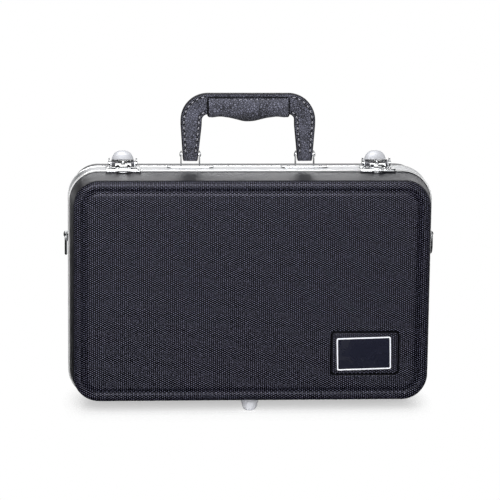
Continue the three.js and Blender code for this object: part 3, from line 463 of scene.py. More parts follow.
def makeLeatherMaterial(name, cells, creases, shadesUnderside):
    material, tree, inputs = newFinish(name, IOR=1.45, Sheen_Weight=0.12, Sheen_Roughness=0.5)
    grain = useGroup(tree, leatherGrain, {"Cells": cells, "Creases": creases})
    marks = marksOf(tree, leatherFinish["marks"])
    tint = grain["Tint"]
    # Painted shade: the sleeve's colour grows darker from its middle down to its underside.
    if shadesUnderside:
        where = objectPlace(tree)
        height = place(tree, "ShaderNodeSeparateXYZ", {0: where}).outputs["Z"]
        low, high = ((frameTop + leatherFinish[key]) * mm for key in ("undersideShadeFrom", "undersideShadeTo"))
        clean = rescale(tree, height, low, high, leatherFinish["undersideShadeLeast"], 1.0, smooth=True)
        tint = maths(tree, "MULTIPLY", tint, clean)
    # Near-black creases and pale pebble tops: the grain's tone with painted shade and painted highlight
    # on it.
    colour = blendColours(tree, tint, leatherFinish["shadedValley"], leatherFinish["crestAndGlint"])
    tree.links.new(colour, inputs["Base Color"])
    rough = rescale(tree, marks["Smudge"], 0.0, 1.0, *leatherFinish["rough"])
    tree.links.new(rough, inputs["Roughness"])
    addBump(tree, inputs, grain["Height"], leatherFinish["bump"])
    return material


def makeEdgePaintMaterial():
    material, tree, inputs = newFinish("edgePaint", Specular_IOR_Level=0.25)
    marks = marksOf(tree, leatherFinish["edgeMarks"])
    colour = blendColours(tree, marks["Smudge"], leatherFinish["edge"], leatherFinish["edgeWorn"])
    tree.links.new(colour, inputs["Base Color"])
    rough = rescale(tree, marks["Smudge"], 0.0, 1.0, *leatherFinish["edgeRough"])
    tree.links.new(rough, inputs["Roughness"])
    addBump(tree, inputs, marks["Smudge"], leatherFinish["edgeHeight"])
    return material


# Near black, as painted shade for the needle holes; the grip's turned ends and top strip use it too.
def makeNeedleHoleMaterial():
    material, tree, inputs = newFinish("needleHole", Specular_IOR_Level=0.2)
    marks = marksOf(tree, leatherFinish["holeMarks"])
    colour = blendColours(tree, marks["Smudge"], leatherFinish["hole"], leatherFinish["holeWorn"])
    tree.links.new(colour, inputs["Base Color"])
    rough = rescale(tree, marks["Smudge"], 0.0, 1.0, *leatherFinish["holeRough"])
    tree.links.new(rough, inputs["Roughness"])
    return material


threadFinish = {
    "low": (0.20, 0.20, 0.23, 1), "high": (0.42, 0.42, 0.47, 1), "strands": 4200.0,
    "strandRange": (0.3, 0.7), "rough": (0.55, 0.8), "height": 0.0001,
}


def makeThreadMaterial():
    material, tree, inputs = newFinish("greyThread", Sheen_Weight=0.3)
    where = objectPlace(tree)
    strands = noise(tree, where, threadFinish["strands"], detail=2.0)
    colour = blendColours(tree, strands, threadFinish["low"], threadFinish["high"])
    tree.links.new(colour, inputs["Base Color"])
    rough = rescale(tree, strands, *threadFinish["strandRange"], *threadFinish["rough"])
    tree.links.new(rough, inputs["Roughness"])
    addBump(tree, inputs, strands, threadFinish["height"])
    return material


plushFinish = {
    "fibres": 1500.0, "deep": (0.010, 0.010, 0.013, 1), "brushed": (0.026, 0.026, 0.032, 1),
    "tip": (0.05, 0.05, 0.06, 1), "tipShare": 0.4, "pile": 0.0007, "pileRange": (0.3, 0.7),
    "rough": (0.85, 1.0),
}


def makePlushMaterial():
    material, tree, inputs = newFinish("blackPlush", Sheen_Weight=0.45, Sheen_Roughness=0.35,
                                       Specular_IOR_Level=0.15)
    pile = useGroup(tree, plushPile, {"Fibres": plushFinish["fibres"]})
    stroke = blendColours(tree, pile["Stroke"], plushFinish["deep"], plushFinish["brushed"])
    tips = maths(tree, "MULTIPLY", pile["Height"], plushFinish["tipShare"])
    colour = blendColours(tree, tips, stroke, plushFinish["tip"])
    tree.links.new(colour, inputs["Base Color"])
    rough = rescale(tree, pile["Height"], *plushFinish["pileRange"], *plushFinish["rough"])
    tree.links.new(rough, inputs["Roughness"])
    addBump(tree, inputs, pile["Height"], plushFinish["pile"])
    return material


enamelFinish = {
    "clean": (0.0095, 0.0105, 0.021, 1), "worn": (0.014, 0.015, 0.026, 1), "rough": (0.22, 0.34),
    "marks": 40.0, "orangePeel": 1800.0, "peelHeight": 0.00003,
}


def makeBadgeFaceMaterial():
    material, tree, inputs = newFinish("darkBadgeEnamel", IOR=1.5, Coat_Roughness=0.08)
    marks = marksOf(tree, enamelFinish["marks"])
    colour = blendColours(tree, marks["Smudge"], enamelFinish["clean"], enamelFinish["worn"])
    tree.links.new(colour, inputs["Base Color"])
    rough = rescale(tree, marks["Smudge"], 0.0, 1.0, *enamelFinish["rough"])
    tree.links.new(rough, inputs["Roughness"])
    where = objectPlace(tree)
    fine = noise(tree, where, enamelFinish["orangePeel"], detail=2.0)
    addBump(tree, inputs, fine, enamelFinish["peelHeight"])
    return material


plasticBlack = makeShellMaterial("embossedBlackPlastic", shellFinish["stretched"], shellFinish["gloss"])
grooveShade = makeShellMaterial("paintedGrooveShade", shellFinish["grooveFloor"],
                                shellFinish["grooveGloss"])
lidAluminium = makeAluminiumMaterial("drawnAluminiumLid", seamY - lidFrameDepth + beadShineStart,
                                     seamY - lidFrameDepth + beadShineFull)
baseAluminium = makeAluminiumMaterial("drawnAluminiumBase", seamY + baseFrameDepth - beadShineStart,
                                      seamY + baseFrameDepth - beadShineFull)
chrome = makePlatedMaterial("nickelPlatedSteel", "bright")
satinNickel = makePlatedMaterial("satinNickel", "satin")
innerShadeSteel = makePlatedMaterial("paintedShadeSteel", "innerShade")
frostedNickel = makePlatedMaterial("frostedNickel", "frosted")
leather = makeLeatherMaterial("handleLeather", leatherFinish["cells"], leatherFinish["creases"], False)
gripLeather = makeLeatherMaterial("gripLeather", leatherFinish["gripCells"],
                                  leatherFinish["gripCreases"], True)
edgePaint = makeEdgePaintMaterial()
thread = makeThreadMaterial()
needleHole = makeNeedleHoleMaterial()
plush = makePlushMaterial()
badgeEnamel = makeBadgeFaceMaterial()
print("finishes made")


# Mesh helpers

def circle(steps):
    angles = [k / steps * 2 * math.pi for k in range(steps)]
    return [(math.cos(angle), math.sin(angle)) for angle in angles]


def roundedOutline(halfX, halfZ, radius, steps):
    points = []
    for corner, (signX, signZ) in enumerate(((1, 1), (-1, 1), (-1, -1), (1, -1))):
        for i in range(steps + 1):
            angle = (corner + i / steps) * math.pi / 2
            points.append((
                signX * (halfX - radius) + radius * math.cos(angle),
                signZ * (halfZ - radius) + radius * math.sin(angle),
            ))
    return points


def caseRing(side, distance, inset):
    radius = max(caseForm["corner"] - inset, caseForm["smallestCorner"])
    outline = roundedOutline(halfWidth - inset, halfHeight - inset, radius, caseForm["cornerSteps"])
    return [(x, seamY + side * distance, middleZ + z) for x, z in outline]


def softenCorners(points, reach, steps=4):
    # Each inner corner of an open profile becomes a curve that starts and ends this far along its legs.
    softened = [points[0]]
    for i in range(1, len(points) - 1):
        before, here, after = (np.array(points[j], float) for j in (i - 1, i, i + 1))
        inwards, onwards = np.linalg.norm(before - here), np.linalg.norm(after - here)
        cut = min(reach, inwards / 2, onwards / 2)
        start = here + (before - here) / inwards * cut
        end = here + (after - here) / onwards * cut
        for k in range(steps + 1):
            t = k / steps
            softened.append(tuple((1 - t) ** 2 * start + 2 * t * (1 - t) * here + t ** 2 * end))
    softened.append(points[-1])
    return softened


def quarterRound(faceDistance, sideInset, radius, steps):
    points = []
    for i in range(steps + 1):
        angle = i / steps * math.pi / 2
        points.append((faceDistance - radius + radius * math.sin(angle),
                       sideInset + radius - radius * math.cos(angle)))
    return points


def loftFaces(ringCount, perRing, hoop=False):
    faces = []
    for ring in range(ringCount if hoop else ringCount - 1):
        following = (ring + 1) % ringCount
        for i in range(perRing):
            j = (i + 1) % perRing
            here, there = ring * perRing, following * perRing
            faces.append((here + i, here + j, there + j, there + i))
    return faces


def loftMesh(name, rings, hoop=False):
    count = len(rings[0])
    faces = loftFaces(len(rings), count, hoop)
    if not hoop:
        faces.append(tuple(reversed(range(count))))
        faces.append(tuple(range((len(rings) - 1) * count, len(rings) * count)))
    return meshFrom(name, [point for ring in rings for point in ring], faces)


def meshFrom(name, points, faces):
    mesh = bpy.data.meshes.new(name)
    mesh.from_pydata(toMetres(points), [], faces)
    turnOutwards(mesh)
    return mesh


def turnOutwards(mesh):
    work = bmesh.new()
    work.from_mesh(mesh)
    bmesh.ops.recalc_face_normals(work, faces=work.faces)
    if work.calc_volume(signed=True) < 0:
        bmesh.ops.reverse_faces(work, faces=work.faces)
    work.to_mesh(mesh)
    work.free()
    mesh.update()


def joinMeshes(name, meshes):
    # Several closed meshes as one, each keeping its material numbers.
    work = bmesh.new()
    for mesh in meshes:
        work.from_mesh(mesh)
    joined = bpy.data.meshes.new(name)
    work.to_mesh(joined)
    work.free()
    return joined


def moved(mesh, matrix):
    mesh.transform(matrix)
    return mesh


def paint(mesh, number):
    mesh.polygons.foreach_set("material_index", [number] * len(mesh.polygons))
    return mesh


def showPiece(name, mesh, finishes, body, nodes=(), sharpAbove=38):
    piece = bpy.data.objects.new(name, mesh)
    bpy.context.scene.collection.objects.link(piece)
    numbers = [polygon.material_index for polygon in mesh.polygons]
    mesh.materials.clear()
    for finish in finishes:
        mesh.materials.append(finish)
    mesh.polygons.foreach_set("material_index", [min(n, len(finishes) - 1) for n in numbers])
    mesh.shade_smooth()
    mesh.set_sharp_from_angle(angle=math.radians(sharpAbove))
    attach(piece, body)
    if nodes:
        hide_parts(*nodes)
    return piece


weldDistance = 0.002


def stampedPlate(name, outlines, thickness, edge, steps=2):
    # Sheet metal with rolled edges, drawn in x and y. The first outline is its edge, the others holes.
    curve = bpy.data.curves.new(name, "CURVE")
    curve.dimensions = "2D"
    curve.fill_mode = "BOTH"
    curve.extrude = (thickness / 2 - edge) * mm
    curve.bevel_depth = edge * mm
    curve.bevel_resolution = steps
    curve.offset = -edge * mm
    for number, outline in enumerate(outlines):
        points = turned(outline, number == 0)
        spline = curve.splines.new("POLY")
        spline.points.add(len(points) - 1)
        for slot, (x, y) in zip(spline.points, points):
            slot.co = (x * mm, y * mm, 0, 1)
        spline.use_cyclic_u = True
    holder = bpy.data.objects.new(name, curve)
    bpy.context.scene.collection.objects.link(holder)
    evaluated = holder.evaluated_get(bpy.context.evaluated_depsgraph_get())
    mesh = bpy.data.meshes.new_from_object(evaluated)
    bpy.data.objects.remove(holder)
    bpy.data.curves.remove(curve)
    work = bmesh.new()
    work.from_mesh(mesh)
    bmesh.ops.remove_doubles(work, verts=work.verts, dist=weldDistance * mm)
    work.to_mesh(mesh)
    work.free()
    turnOutwards(mesh)
    return mesh


def turned(outline, anticlockwise):
    area = sum(a[0] * b[1] - b[0] * a[1] for a, b in zip(outline, outline[1:] + outline[:1]))
    return list(outline) if (area > 0) == anticlockwise else list(reversed(outline))


def cutAcross(mesh, places):
    # Loop cuts at the given y places, so that a sheet can be bent there.
    work = bmesh.new()
    work.from_mesh(mesh)
    for y in places:
        everything = work.verts[:] + work.edges[:] + work.faces[:]
        bmesh.ops.bisect_plane(work, geom=everything, plane_co=(0, y * mm, 0), plane_no=(0, 1, 0),
                               dist=1e-7)
    work.to_mesh(mesh)
    work.free()


def bendSheet(mesh, line):
    # The sheet's y runs along a bent (y, z) line from its start, and its z stands off that line.
    points = [np.array(p, float) for p in line]
    lengths = [0.0]
    for a, b in zip(points, points[1:]):
        lengths.append(lengths[-1] + float(np.linalg.norm(b - a)))
    cutAcross(mesh, lengths[1:-1])
    tangents = []
    for i in range(len(points)):
        before, after = points[max(i - 1, 0)], points[min(i + 1, len(points) - 1)]
        tangents.append((after - before) / np.linalg.norm(after - before))
    for vertex in mesh.vertices:
        s = min(max(vertex.co.y / mm, 0.0), lengths[-1])
        i = min(max(int(np.searchsorted(lengths, s)) - 1, 0), len(points) - 2)
        t = (s - lengths[i]) / (lengths[i + 1] - lengths[i])
        point = points[i] * (1 - t) + points[i + 1] * t
        along = tangents[i] * (1 - t) + tangents[i + 1] * t
        along = along / np.linalg.norm(along)
        off = vertex.co.z / mm
        vertex.co.y = (point[0] - along[1] * off) * mm
        vertex.co.z = (point[1] + along[0] * off) * mm
    mesh.update()


def lineLength(line):
    return sum(math.dist(a, b) for a, b in zip(line, line[1:]))


def revolve(profile, steps, axis="z"):
    # Profile as (radius, height), from the axis round to the axis.
    points = []
    inner = profile[1:-1]
    for radius, height in inner:
        points += [(radius * c, radius * s, height) for c, s in circle(steps)]
    faces = loftFaces(len(inner), steps)
    for end, ring in ((0, 0), (-1, len(inner) - 1)):
        pole = len(points)
        points.append((0, 0, profile[end][1]))
        faces += [(pole, ring * steps + i, ring * steps + (i + 1) % steps) for i in range(steps)]
    mesh = meshFrom("turned", points, faces)
    if axis == "x":
        mesh.transform(Matrix.Rotation(math.pi / 2, 4, "Y"))
    return mesh


def at(x, y, z):
    return Matrix.Translation((x * mm, y * mm, z * mm))


rivetForm = {"flange": 0.25, "flangeEdge": 0.6, "domeSteps": 6, "round": 24}
rodForm = {"chamfer": 0.15, "domeSteps": 5, "round": 20}


def rivetHead(radius, height):
    flange, steps = rivetForm["flange"], rivetForm["domeSteps"]
    profile = [(0, height)]
    for i in range(1, steps + 1):
        angle = i / steps * math.pi / 2
        profile.append(((radius - flange) * math.sin(angle),
                        flange + (height - flange) * math.cos(angle)))
    profile += [(radius, flange * rivetForm["flangeEdge"]), (radius, 0), (0, 0)]
    return revolve(profile, rivetForm["round"])


def headedRod(radius, headRadius, headLength, halfSpan):
    # A pin along x with a domed, riveted head at each end.
    reach = halfSpan + headLength
    chamfer, steps = rodForm["chamfer"], rodForm["domeSteps"]
    half = [(radius, halfSpan), (headRadius - chamfer, halfSpan), (headRadius, halfSpan + chamfer)]
    for i in range(1, steps):
        angle = i / steps * math.pi / 2
        rise = halfSpan + chamfer + (headLength - chamfer) * math.sin(angle)
        half.append((headRadius * math.cos(angle), rise))
    profile = [(0, -reach)] + [(r, -h) for r, h in reversed(half)] + half + [(0, reach)]
    return revolve(profile, rodForm["round"], axis="x")


def sweepTube(route, radius, sideCount, closed):
    points = [Vector(p) for p in route]
    count = len(points)
    rings = []
    reference = None
    for i, point in enumerate(points):
        before = points[i - 1] if closed or i else points[0]
        after = points[(i + 1) % count] if closed or i < count - 1 else points[-1]
        along = (after - before).normalized()
        if reference is None:
            reference = along.orthogonal().normalized()
        reference = (reference - along * reference.dot(along)).normalized()
        second = along.cross(reference)
        size = radius(i / (count - 1)) if callable(radius) else radius
        rings.append([tuple(point + reference * size * c + second * size * s)
                      for c, s in circle(sideCount)])
    return loftMesh("tube", rings, hoop=closed)


# Moulded shells

shellForm = {
    "wall": 2.6,
    "frameInset": 1.5,  # the shell's edge sits this far inside the frame's outer face
    "edgeStart": 2.95,  # and starts this far from the seam, in the frame's channel
    "draft": 2.7,
    "edgeRound": 6,
    "roundSteps": 9,
    "beadLand": 1.6,
    "grooveSlope": 2,
    "grooveFloor": 1.4,
    "grooveDepth": 2.2,
    "panelRamp": 2.4,
    "panelStep": 0.4,
    "panelRound": 1.8,
    "soften": 0.9,
    "calmStrip": 1.2,  # flat strip inside the panel's edge
    "grainFrom": 0.15,  # share of the rounded edge over which the grain comes up
    "grainLeast": 0.2,
    "shadedSlope": 0.9,  # depth in a groove from which its outer wall takes painted shade and its inner wall, which catches the light
    "shadedRamp": 1.75,  # and its inner wall, which catches the light
}
padForm = {
    "plateShift": 1,  # the badge sits this far to the left of the pad's middle
    "width": 69.6, "height": 45.4, "corner": 5, "steps": 8, "groove": 2.1, "grooveDepth": 1.7,
    "lip": 0.6, "landOutside": 0.8, "landInside": 1.6, "wallSlope": 0.55, "sunk": 0.05,
    "grainFade": 1.3,  # the grain and its painted highlight are gone before the groove's floor, which leaves it dark as painted shade
}
badgeLow, badgeHigh = boxInMillimetres("badge_plate")
badgeX = (badgeLow.x + badgeHigh.x) / 2
badgeZ = (badgeLow.z + badgeHigh.z) / 2


def shellProfile(depth, frameDepth):
    form = shellForm
    faceInset = form["frameInset"] + form["draft"]
    bead = faceInset + form["edgeRound"] + form["beadLand"]
    groove = bead + form["grooveSlope"]
    ramp = groove + form["grooveFloor"]
    panel = ramp + form["panelRamp"]
    grooveFloor = depth - form["grooveDepth"]
    outer = [(form["edgeStart"], form["frameInset"]), (frameDepth, form["frameInset"])]
    outer += quarterRound(depth, faceInset, form["edgeRound"], form["roundSteps"])
    relief = softenCorners([
        outer[-1], (depth, bead), (grooveFloor, groove), (grooveFloor, ramp),
        (depth - form["panelStep"], panel), (depth, panel + form["panelRound"]),
        (depth, panel + form["panelRound"] + form["calmStrip"]),
    ], form["soften"])
    outer += relief[1:]
    wall = form["wall"]
    inner = [(form["edgeStart"], form["frameInset"] + wall), (frameDepth, form["frameInset"] + wall)]
    inner += quarterRound(depth - wall, faceInset + wall, form["edgeRound"] - wall, 4)
    inner += [(depth - wall, bead), (depth - wall - form["grooveDepth"], groove),
              (depth - wall - form["grooveDepth"], ramp), (depth - wall, panel)]
    return inner, outer


def sheetInsets(profile, faceInset):
    # How far each profile point lies from the outline on the flat sheet that the shell is formed from.
    insets = [point[1] for point in profile]
    first = next(i for i, inset in enumerate(insets) if inset >= faceInset)
    for i in range(first - 1, -1, -1):
        insets[i] = insets[i + 1] - math.dist(profile[i], profile[i + 1])
    return insets


def grainShare(inset):
    start = shellForm["frameInset"] + shellForm["draft"]
    full = start + shellForm["edgeRound"] * shellForm["grainFrom"]
    return min(1, max(shellForm["grainLeast"], (inset - start) / (full - start)))


def makeShell(name, side, depth, frameDepth, node, body, withPad):
    inner, outer = shellProfile(depth, frameDepth)
    flatFrom = shellForm["frameInset"] + shellForm["draft"] + shellForm["edgeRound"]
    insets = [point[1] for point in reversed(inner)] + sheetInsets(outer, flatFrom)
    profile = list(reversed(inner)) + outer
    rings = [caseRing(side, distance, inset) for distance, inset in profile]
    count = len(rings[0])
    points = [p for ring in rings for p in ring]
    places = [(p[0], p[2], 0) for inset in insets for p in caseRing(side, 0, inset)]
    grain, shaded = [], []
    for i, (distance, inset) in enumerate(profile):
        grain += [grainShare(inset)] * count
        shaded += [i >= len(inner) and isShaded(depth - distance, inset)] * count
    faces = loftFaces(len(rings), count)
    faces.append(tuple(reversed(range(count))))
    lastRing = (len(rings) - 1) * count
    if withPad:
        padRings, padGrain = padProfile(depth)
        grain += padGrain
        perPad = len(padRings[0])
        firstPad = len(points)
        for ring in padRings:
            points += ring
            places += [(p[0], p[2], 0) for p in ring]
            shaded += [abs(p[1] - seamY) < depth - shellForm["shadedSlope"] for p in ring]
        faces += [tuple(firstPad + i for i in face) for face in loftFaces(len(padRings), perPad)]
        faces.append(tuple(range(len(points) - perPad, len(points))))
    else:
        faces.append(tuple(range(lastRing, lastRing + count)))
    mesh = bpy.data.meshes.new(name)
    mesh.from_pydata(toMetres(points), [], faces)
    attribute = mesh.attributes.new("sheetPlace", "FLOAT_VECTOR", "POINT")
    attribute.data.foreach_set("vector", [value * mm for p in places for value in p])
    mesh.attributes.new("grainShare", "FLOAT", "POINT").data.foreach_set("value", grain)
    if withPad:
        fillPanel(mesh, range(lastRing, lastRing + count), range(firstPad, firstPad + perPad))
    turnOutwards(mesh)
    # Faces deep in the grooves take the painted groove shade.
    for polygon in mesh.polygons:
        polygon.material_index = 1 if all(shaded[i] for i in polygon.vertices) else 0
    showPiece(name, mesh, [plasticBlack, grooveShade], body, [node], sharpAbove=50)


def isShaded(sunk, inset):
    form = shellForm
    groove = form["frameInset"] + form["draft"] + form["edgeRound"] + form["beadLand"]
    ramp = groove + form["grooveSlope"] + form["grooveFloor"]
    return inset > groove and sunk > (form["shadedSlope"] if inset < ramp else form["shadedRamp"])


def padProfile(depth):
    # A narrow pressed groove round the badge's pad, and the pad's own flat in the middle.
    form = padForm
    stations = softenCorners([
        (-form["lip"] - form["landOutside"], 0), (0, 0), (form["wallSlope"], form["grooveDepth"]),
        (form["groove"] - form["wallSlope"], form["grooveDepth"]), (form["groove"], form["sunk"]),
        (form["groove"] + form["landInside"], form["sunk"]),
    ], form["lip"], steps=3)
    rings, grain = [], []
    for inset, deep in stations:
        radius = max(form["corner"] - inset, 1)
        outline = roundedOutline(form["width"] / 2 - inset, form["height"] / 2 - inset, radius,
                                 form["steps"])
        rings.append([(badgeX + form["plateShift"] + x, seamY - depth + deep, badgeZ + z)
                      for x, z in outline])
        grain += [max(0.0, 1 - deep / form["grooveDepth"] * form["grainFade"])] * len(outline)
    return rings, grain


def fillPanel(mesh, outerLoop, innerLoop):
    work = bmesh.new()
    work.from_mesh(mesh)
    work.verts.ensure_lookup_table()
    edges = []
    for loop in (list(outerLoop), list(innerLoop)):
        for a, b in zip(loop, loop[1:] + loop[:1]):
            pair = (work.verts[a], work.verts[b])
            edges.append(work.edges.get(pair) or work.edges.new(pair))
    bmesh.ops.triangle_fill(work, use_beauty=True, use_dissolve=False, edges=edges)
    work.to_mesh(mesh)
    work.free()


makeShell("lid_moulding", lidSide, lidDepth, lidFrameDepth, "lid_shell", "lid", True)
makeShell("base_moulding", baseSide, baseDepth, baseFrameDepth, "base_shell", "base", False)
print("shells moulded")


# Aluminium frames

frameForm = {
    "flange": 1.2,
    "channel": 3.2,
    "web": 2.65,  # how far the web's back lies from the seam
    "innerReach": 10,
    "beadWidth": 1.3,
    "beadSteps": 6,
    "edge": 0.18,
    "tongueInset": 2.5,
    "tongueWidth": 1.6,
    "tongueReach": 1.2,
    "clearance": 0.3,
}


def makeFrame(name, side, frameDepth, node, body, finish, isGrooved):
    form = frameForm
    inner = form["flange"] + form["channel"]
    innerFace = inner + form["flange"]
    seam = caseForm["seamGap"]
    bead = []
    for i in range(form["beadSteps"] + 1):
        angle = i / form["beadSteps"] * math.pi
        bead.append((frameDepth - form["beadWidth"] / 2 - form["beadWidth"] / 2 * math.cos(angle),
                     -caseForm["beadRise"] * math.sin(angle)))
    first, last = form["tongueInset"], form["tongueInset"] + form["tongueWidth"]
    if isGrooved:
        floor = seam + form["tongueReach"] + form["clearance"]
        first, last = first - form["clearance"], last + form["clearance"]
    else:
        floor = -form["tongueReach"]
    section = [(seam, form["edge"]), (seam + form["edge"], 0)] + bead + [
        (frameDepth, form["flange"] - form["edge"]), (frameDepth - form["edge"], form["flange"]),
        (form["web"], form["flange"]), (form["web"], inner),
        (form["innerReach"], inner), (form["innerReach"], innerFace - form["edge"]),
        (form["innerReach"] - form["edge"], innerFace), (seam + form["edge"], innerFace),
        (seam, innerFace - form["edge"]), (seam, last), (floor, last), (floor, first), (seam, first),
    ]
    mesh = loftMesh(name, [caseRing(side, d, i) for d, i in section], hoop=True)
    showPiece(name, mesh, [finish], body, [node], sharpAbove=30)


makeFrame("lid_valance", lidSide, lidFrameDepth, "lid_frame", "lid", lidAluminium, True)
makeFrame("base_valance", baseSide, baseFrameDepth, "base_frame", "base", baseAluminium, False)
print("frames drawn")


# Badge

badgeForm = {
    "width": 54.2, "height": 33, "corner": 1.8, "border": 1.3, "sunk": 0.35, "tiltDegrees": 1.6,
    "edge": 0.3, "faceEdge": 0.1, "innerCorner": 0.7, "steps": 6, "faceSteps": 4,
}


def makeBadge():
    form = badgeForm
    thickness = badgeHigh.y - badgeLow.y
    halfX, halfZ, border = form["width"] / 2, form["height"] / 2, form["border"]
    innerCorner = form["corner"] - border * form["innerCorner"]
    outer = roundedOutline(halfX, halfZ, form["corner"], form["steps"])
    inner = roundedOutline(halfX - border, halfZ - border, innerCorner, form["steps"])
    rim = paint(stampedPlate("rim", [outer, inner], thickness, form["edge"], 3), 1)
    faceOutline = roundedOutline(halfX - border / 2, halfZ - border / 2, form["corner"] / 2,
                                 form["faceSteps"])
    face = paint(stampedPlate("face", [faceOutline], thickness - form["sunk"], form["faceEdge"], 1), 0)
    moved(face, at(0, 0, -form["sunk"] / 2))
    mesh = joinMeshes("badge_bare", [face, rim])
    upright = Matrix.Rotation(math.pi / 2, 4, "X")
    tilt = Matrix.Rotation(-math.radians(form["tiltDegrees"]), 4, "Y")
    middle = at(badgeX, (badgeLow.y + badgeHigh.y) / 2, badgeZ)
    moved(mesh, middle @ tilt @ upright)
    showPiece("badge_bare", mesh, [badgeEnamel, frostedNickel], "lid", ["badge_plate"])


makeBadge()
print("badge left bare")


# Draw latches: x across, y towards the back, z up from the frame's top

latchForm = {
    "spread": 126.8, "halfWidth": 17.5, "sheet": 1, "seat": 0.1, "gap": 0.3, "edge": 0.3,
    "pinRadius": 0.95, "pinHead": 1.7, "pinHeadLength": 0.7, "rivet": 1.9, "rollSteps": 28,
    # the plate and its cheeks
    "plateStart": 0.8, "plateEnd": 11.5, "plateCorner": 2.2, "cheekTop": 9.5, "cheekSheet": 1.2,
    "cheekPlay": 0.2, "cheekBack": (0.55, 0.8), "cheekFront": (1.6, 0.6), "plateRivet": 0.7,
    "plateRivetHeight": 0.75,
    # the lever
    "leverPinY": 4.2, "leverPinZ": 4.6, "leverHalf": 12.6, "leverKnuckle": 2.1, "leverFlange": 1.2,
    "leverFlangeTop": 6.4, "leverPlay": 0.15, "knuckleIn": 1, "webIn": 0.4, "webCorner": 1,
    "flangeSoft": 2.5, "flangeFoot": 0.6,
    # the thumb piece at its end
    "domeY": 16.85, "domeHalf": 11.4, "domeDeep": 3.95, "domeTop": 15.2, "domeWall": 1.1,
    "domeOverlap": 1, "domeSquare": 0.72, "domeRise": 0.9, "domeSteps": 14, "domeRound": 48,
    # the hook
    "hookPinY": 9.6, "hookPinZ": 4.7, "hookKnuckle": 1.8, "lipY": 8.7, "arch": 8, "archSoft": 1.1,
    "archFront": 0.05, "archFall": 0.55, "sideGap": 0.5, "waist": 7.4, "waistTurn": 1.5,
    "tipCorner": 1.2,
    "hookShares": (0.30, 0.5, 0.72, 0.86),  # of its length: full width to, waist at, lip from and to
    "windowX": 5, "windowY": -0.9, "windowWide": 0.55, "windowLong": 0.98, "windowTurn": math.pi / 7,
    "lipWindowX": 5.5, "lipWindowZ": 3.5, "lipWindowHalf": 1.8, "lipWindowHalfHeight": 1.2,
    "lipWindowTurn": math.pi / 9, "hookPinIn": 0.1, "hookPinChamfer": 0.2,
    # the boss on the hook
    "hubRadius": 3, "hubRise": 0.6, "hubSunk": 0.6, "hubHole": 1.1, "hubInside": (0.5, 0.8),
    "hubOutside": (0.7, 0.3), "hubSoft": 0.4, "hubRound": 32,
    # the catch on the lid
    "catchLip": 3.9, "catchLipHalf": 8, "catchSoft": 0.5, "catchCorner": 1, "shoulderCorner": 1.4,
    "shoulderReach": 15.2, "tabReach": 17.4, "tabHalf": 6.5, "tabDrop": 0.11, "tabFlare": 2.2,
    "tabNeck": (1.5, 1.2), "tabRound": 3, "tongueHalf": 3.2, "tongueCorner": 0.8,
    "catchRivetHeight": 0.95,
}
standing = Matrix(((0, 0, 1, 0), (1, 0, 0, 0), (0, 1, 0, 0), (0, 0, 0, 1)))  # (y, z) drawings across x


def arcPoints(cx, cy, radius, startDegrees, endDegrees, steps):
    found = []
    for i in range(steps + 1):
        angle = math.radians(startDegrees + (endDegrees - startDegrees) * i / steps)
        found.append((cx + radius * math.cos(angle), cy + radius * math.sin(angle)))
    return found


def curveBetween(start, control, end, steps=8):
    found = []
    for i in range(steps + 1):
        t = i / steps
        found.append(tuple((1 - t) ** 2 * a + 2 * t * (1 - t) * b + t ** 2 * c
                           for a, b, c in zip(start, control, end)))
    return found


def mirrored(points):
    # Points on the right side, from the middle line or not, with their mirror images in ring order.
    return points + [(-x, y) for x, y in reversed(points) if abs(x) > 1e-6]


def ovalHole(cx, cy, radiusX, radiusY, turn):
    c, s = math.cos(turn), math.sin(turn)
    return [(cx + radiusX * u * c - radiusY * v * s, cy + radiusX * u * s + radiusY * v * c)
            for u, v in circle(20)]


def roundHole(cx, cy, radius):
    return ovalHole(cx, cy, radius, radius, 0.0)


def standUp(mesh, x):
    return moved(mesh, at(x, 0, 0) @ standing)


def rolledSheet(radius, reach, y, z):
    # The part of a stamped sheet that is rolled round a pin. It takes the dark inner finish, painted
    # shade inside the latch.
    profile = [(0, -reach), (radius, -reach), (radius, reach), (0, reach)]
    return moved(paint(revolve(profile, latchForm["rollSteps"], axis="x"), 2), at(0, y, z))


def makeLatchPlate():
    form = latchForm
    start, end, top = form["plateStart"], form["plateEnd"], form["cheekTop"]
    pinY, pinZ, middle = form["leverPinY"], form["leverPinZ"], (start + end) / 2
    outline = [(x, y + middle)
               for x, y in roundedOutline(form["halfWidth"], (end - start) / 2, form["plateCorner"], 5)]
    parts = [moved(stampedPlate("plate", [outline], form["sheet"], form["edge"]),
                   at(0, 0, form["seat"] + form["sheet"] / 2))]
    backFrom, backTo = form["cheekBack"]
    frontFrom, frontTurn = form["cheekFront"]
    cheek = [(start, form["seat"]), (end, form["seat"])]
    cheek += curveBetween((end, top * backFrom), (end, top), (form["hookPinY"] * backTo, top))
    cheek += curveBetween((pinY * frontFrom, top), (pinY * frontTurn, top), (start, pinZ))
    hole = roundHole(pinY, pinZ, form["pinRadius"] + form["cheekPlay"])
    for sign in (-1, 1):
        x = sign * (form["leverHalf"] + form["gap"] + form["cheekSheet"] / 2)
        parts.append(standUp(stampedPlate("cheek", [cheek, hole], form["cheekSheet"], form["edge"]), x))
        rivetX = sign * (form["leverHalf"] + form["gap"] + form["cheekSheet"] + form["halfWidth"]) / 2
        parts.append(moved(rivetHead(form["rivet"] * form["plateRivet"], form["plateRivetHeight"]),
                           at(rivetX, middle, form["seat"] + form["sheet"])))
    return joinMeshes("plate", parts)


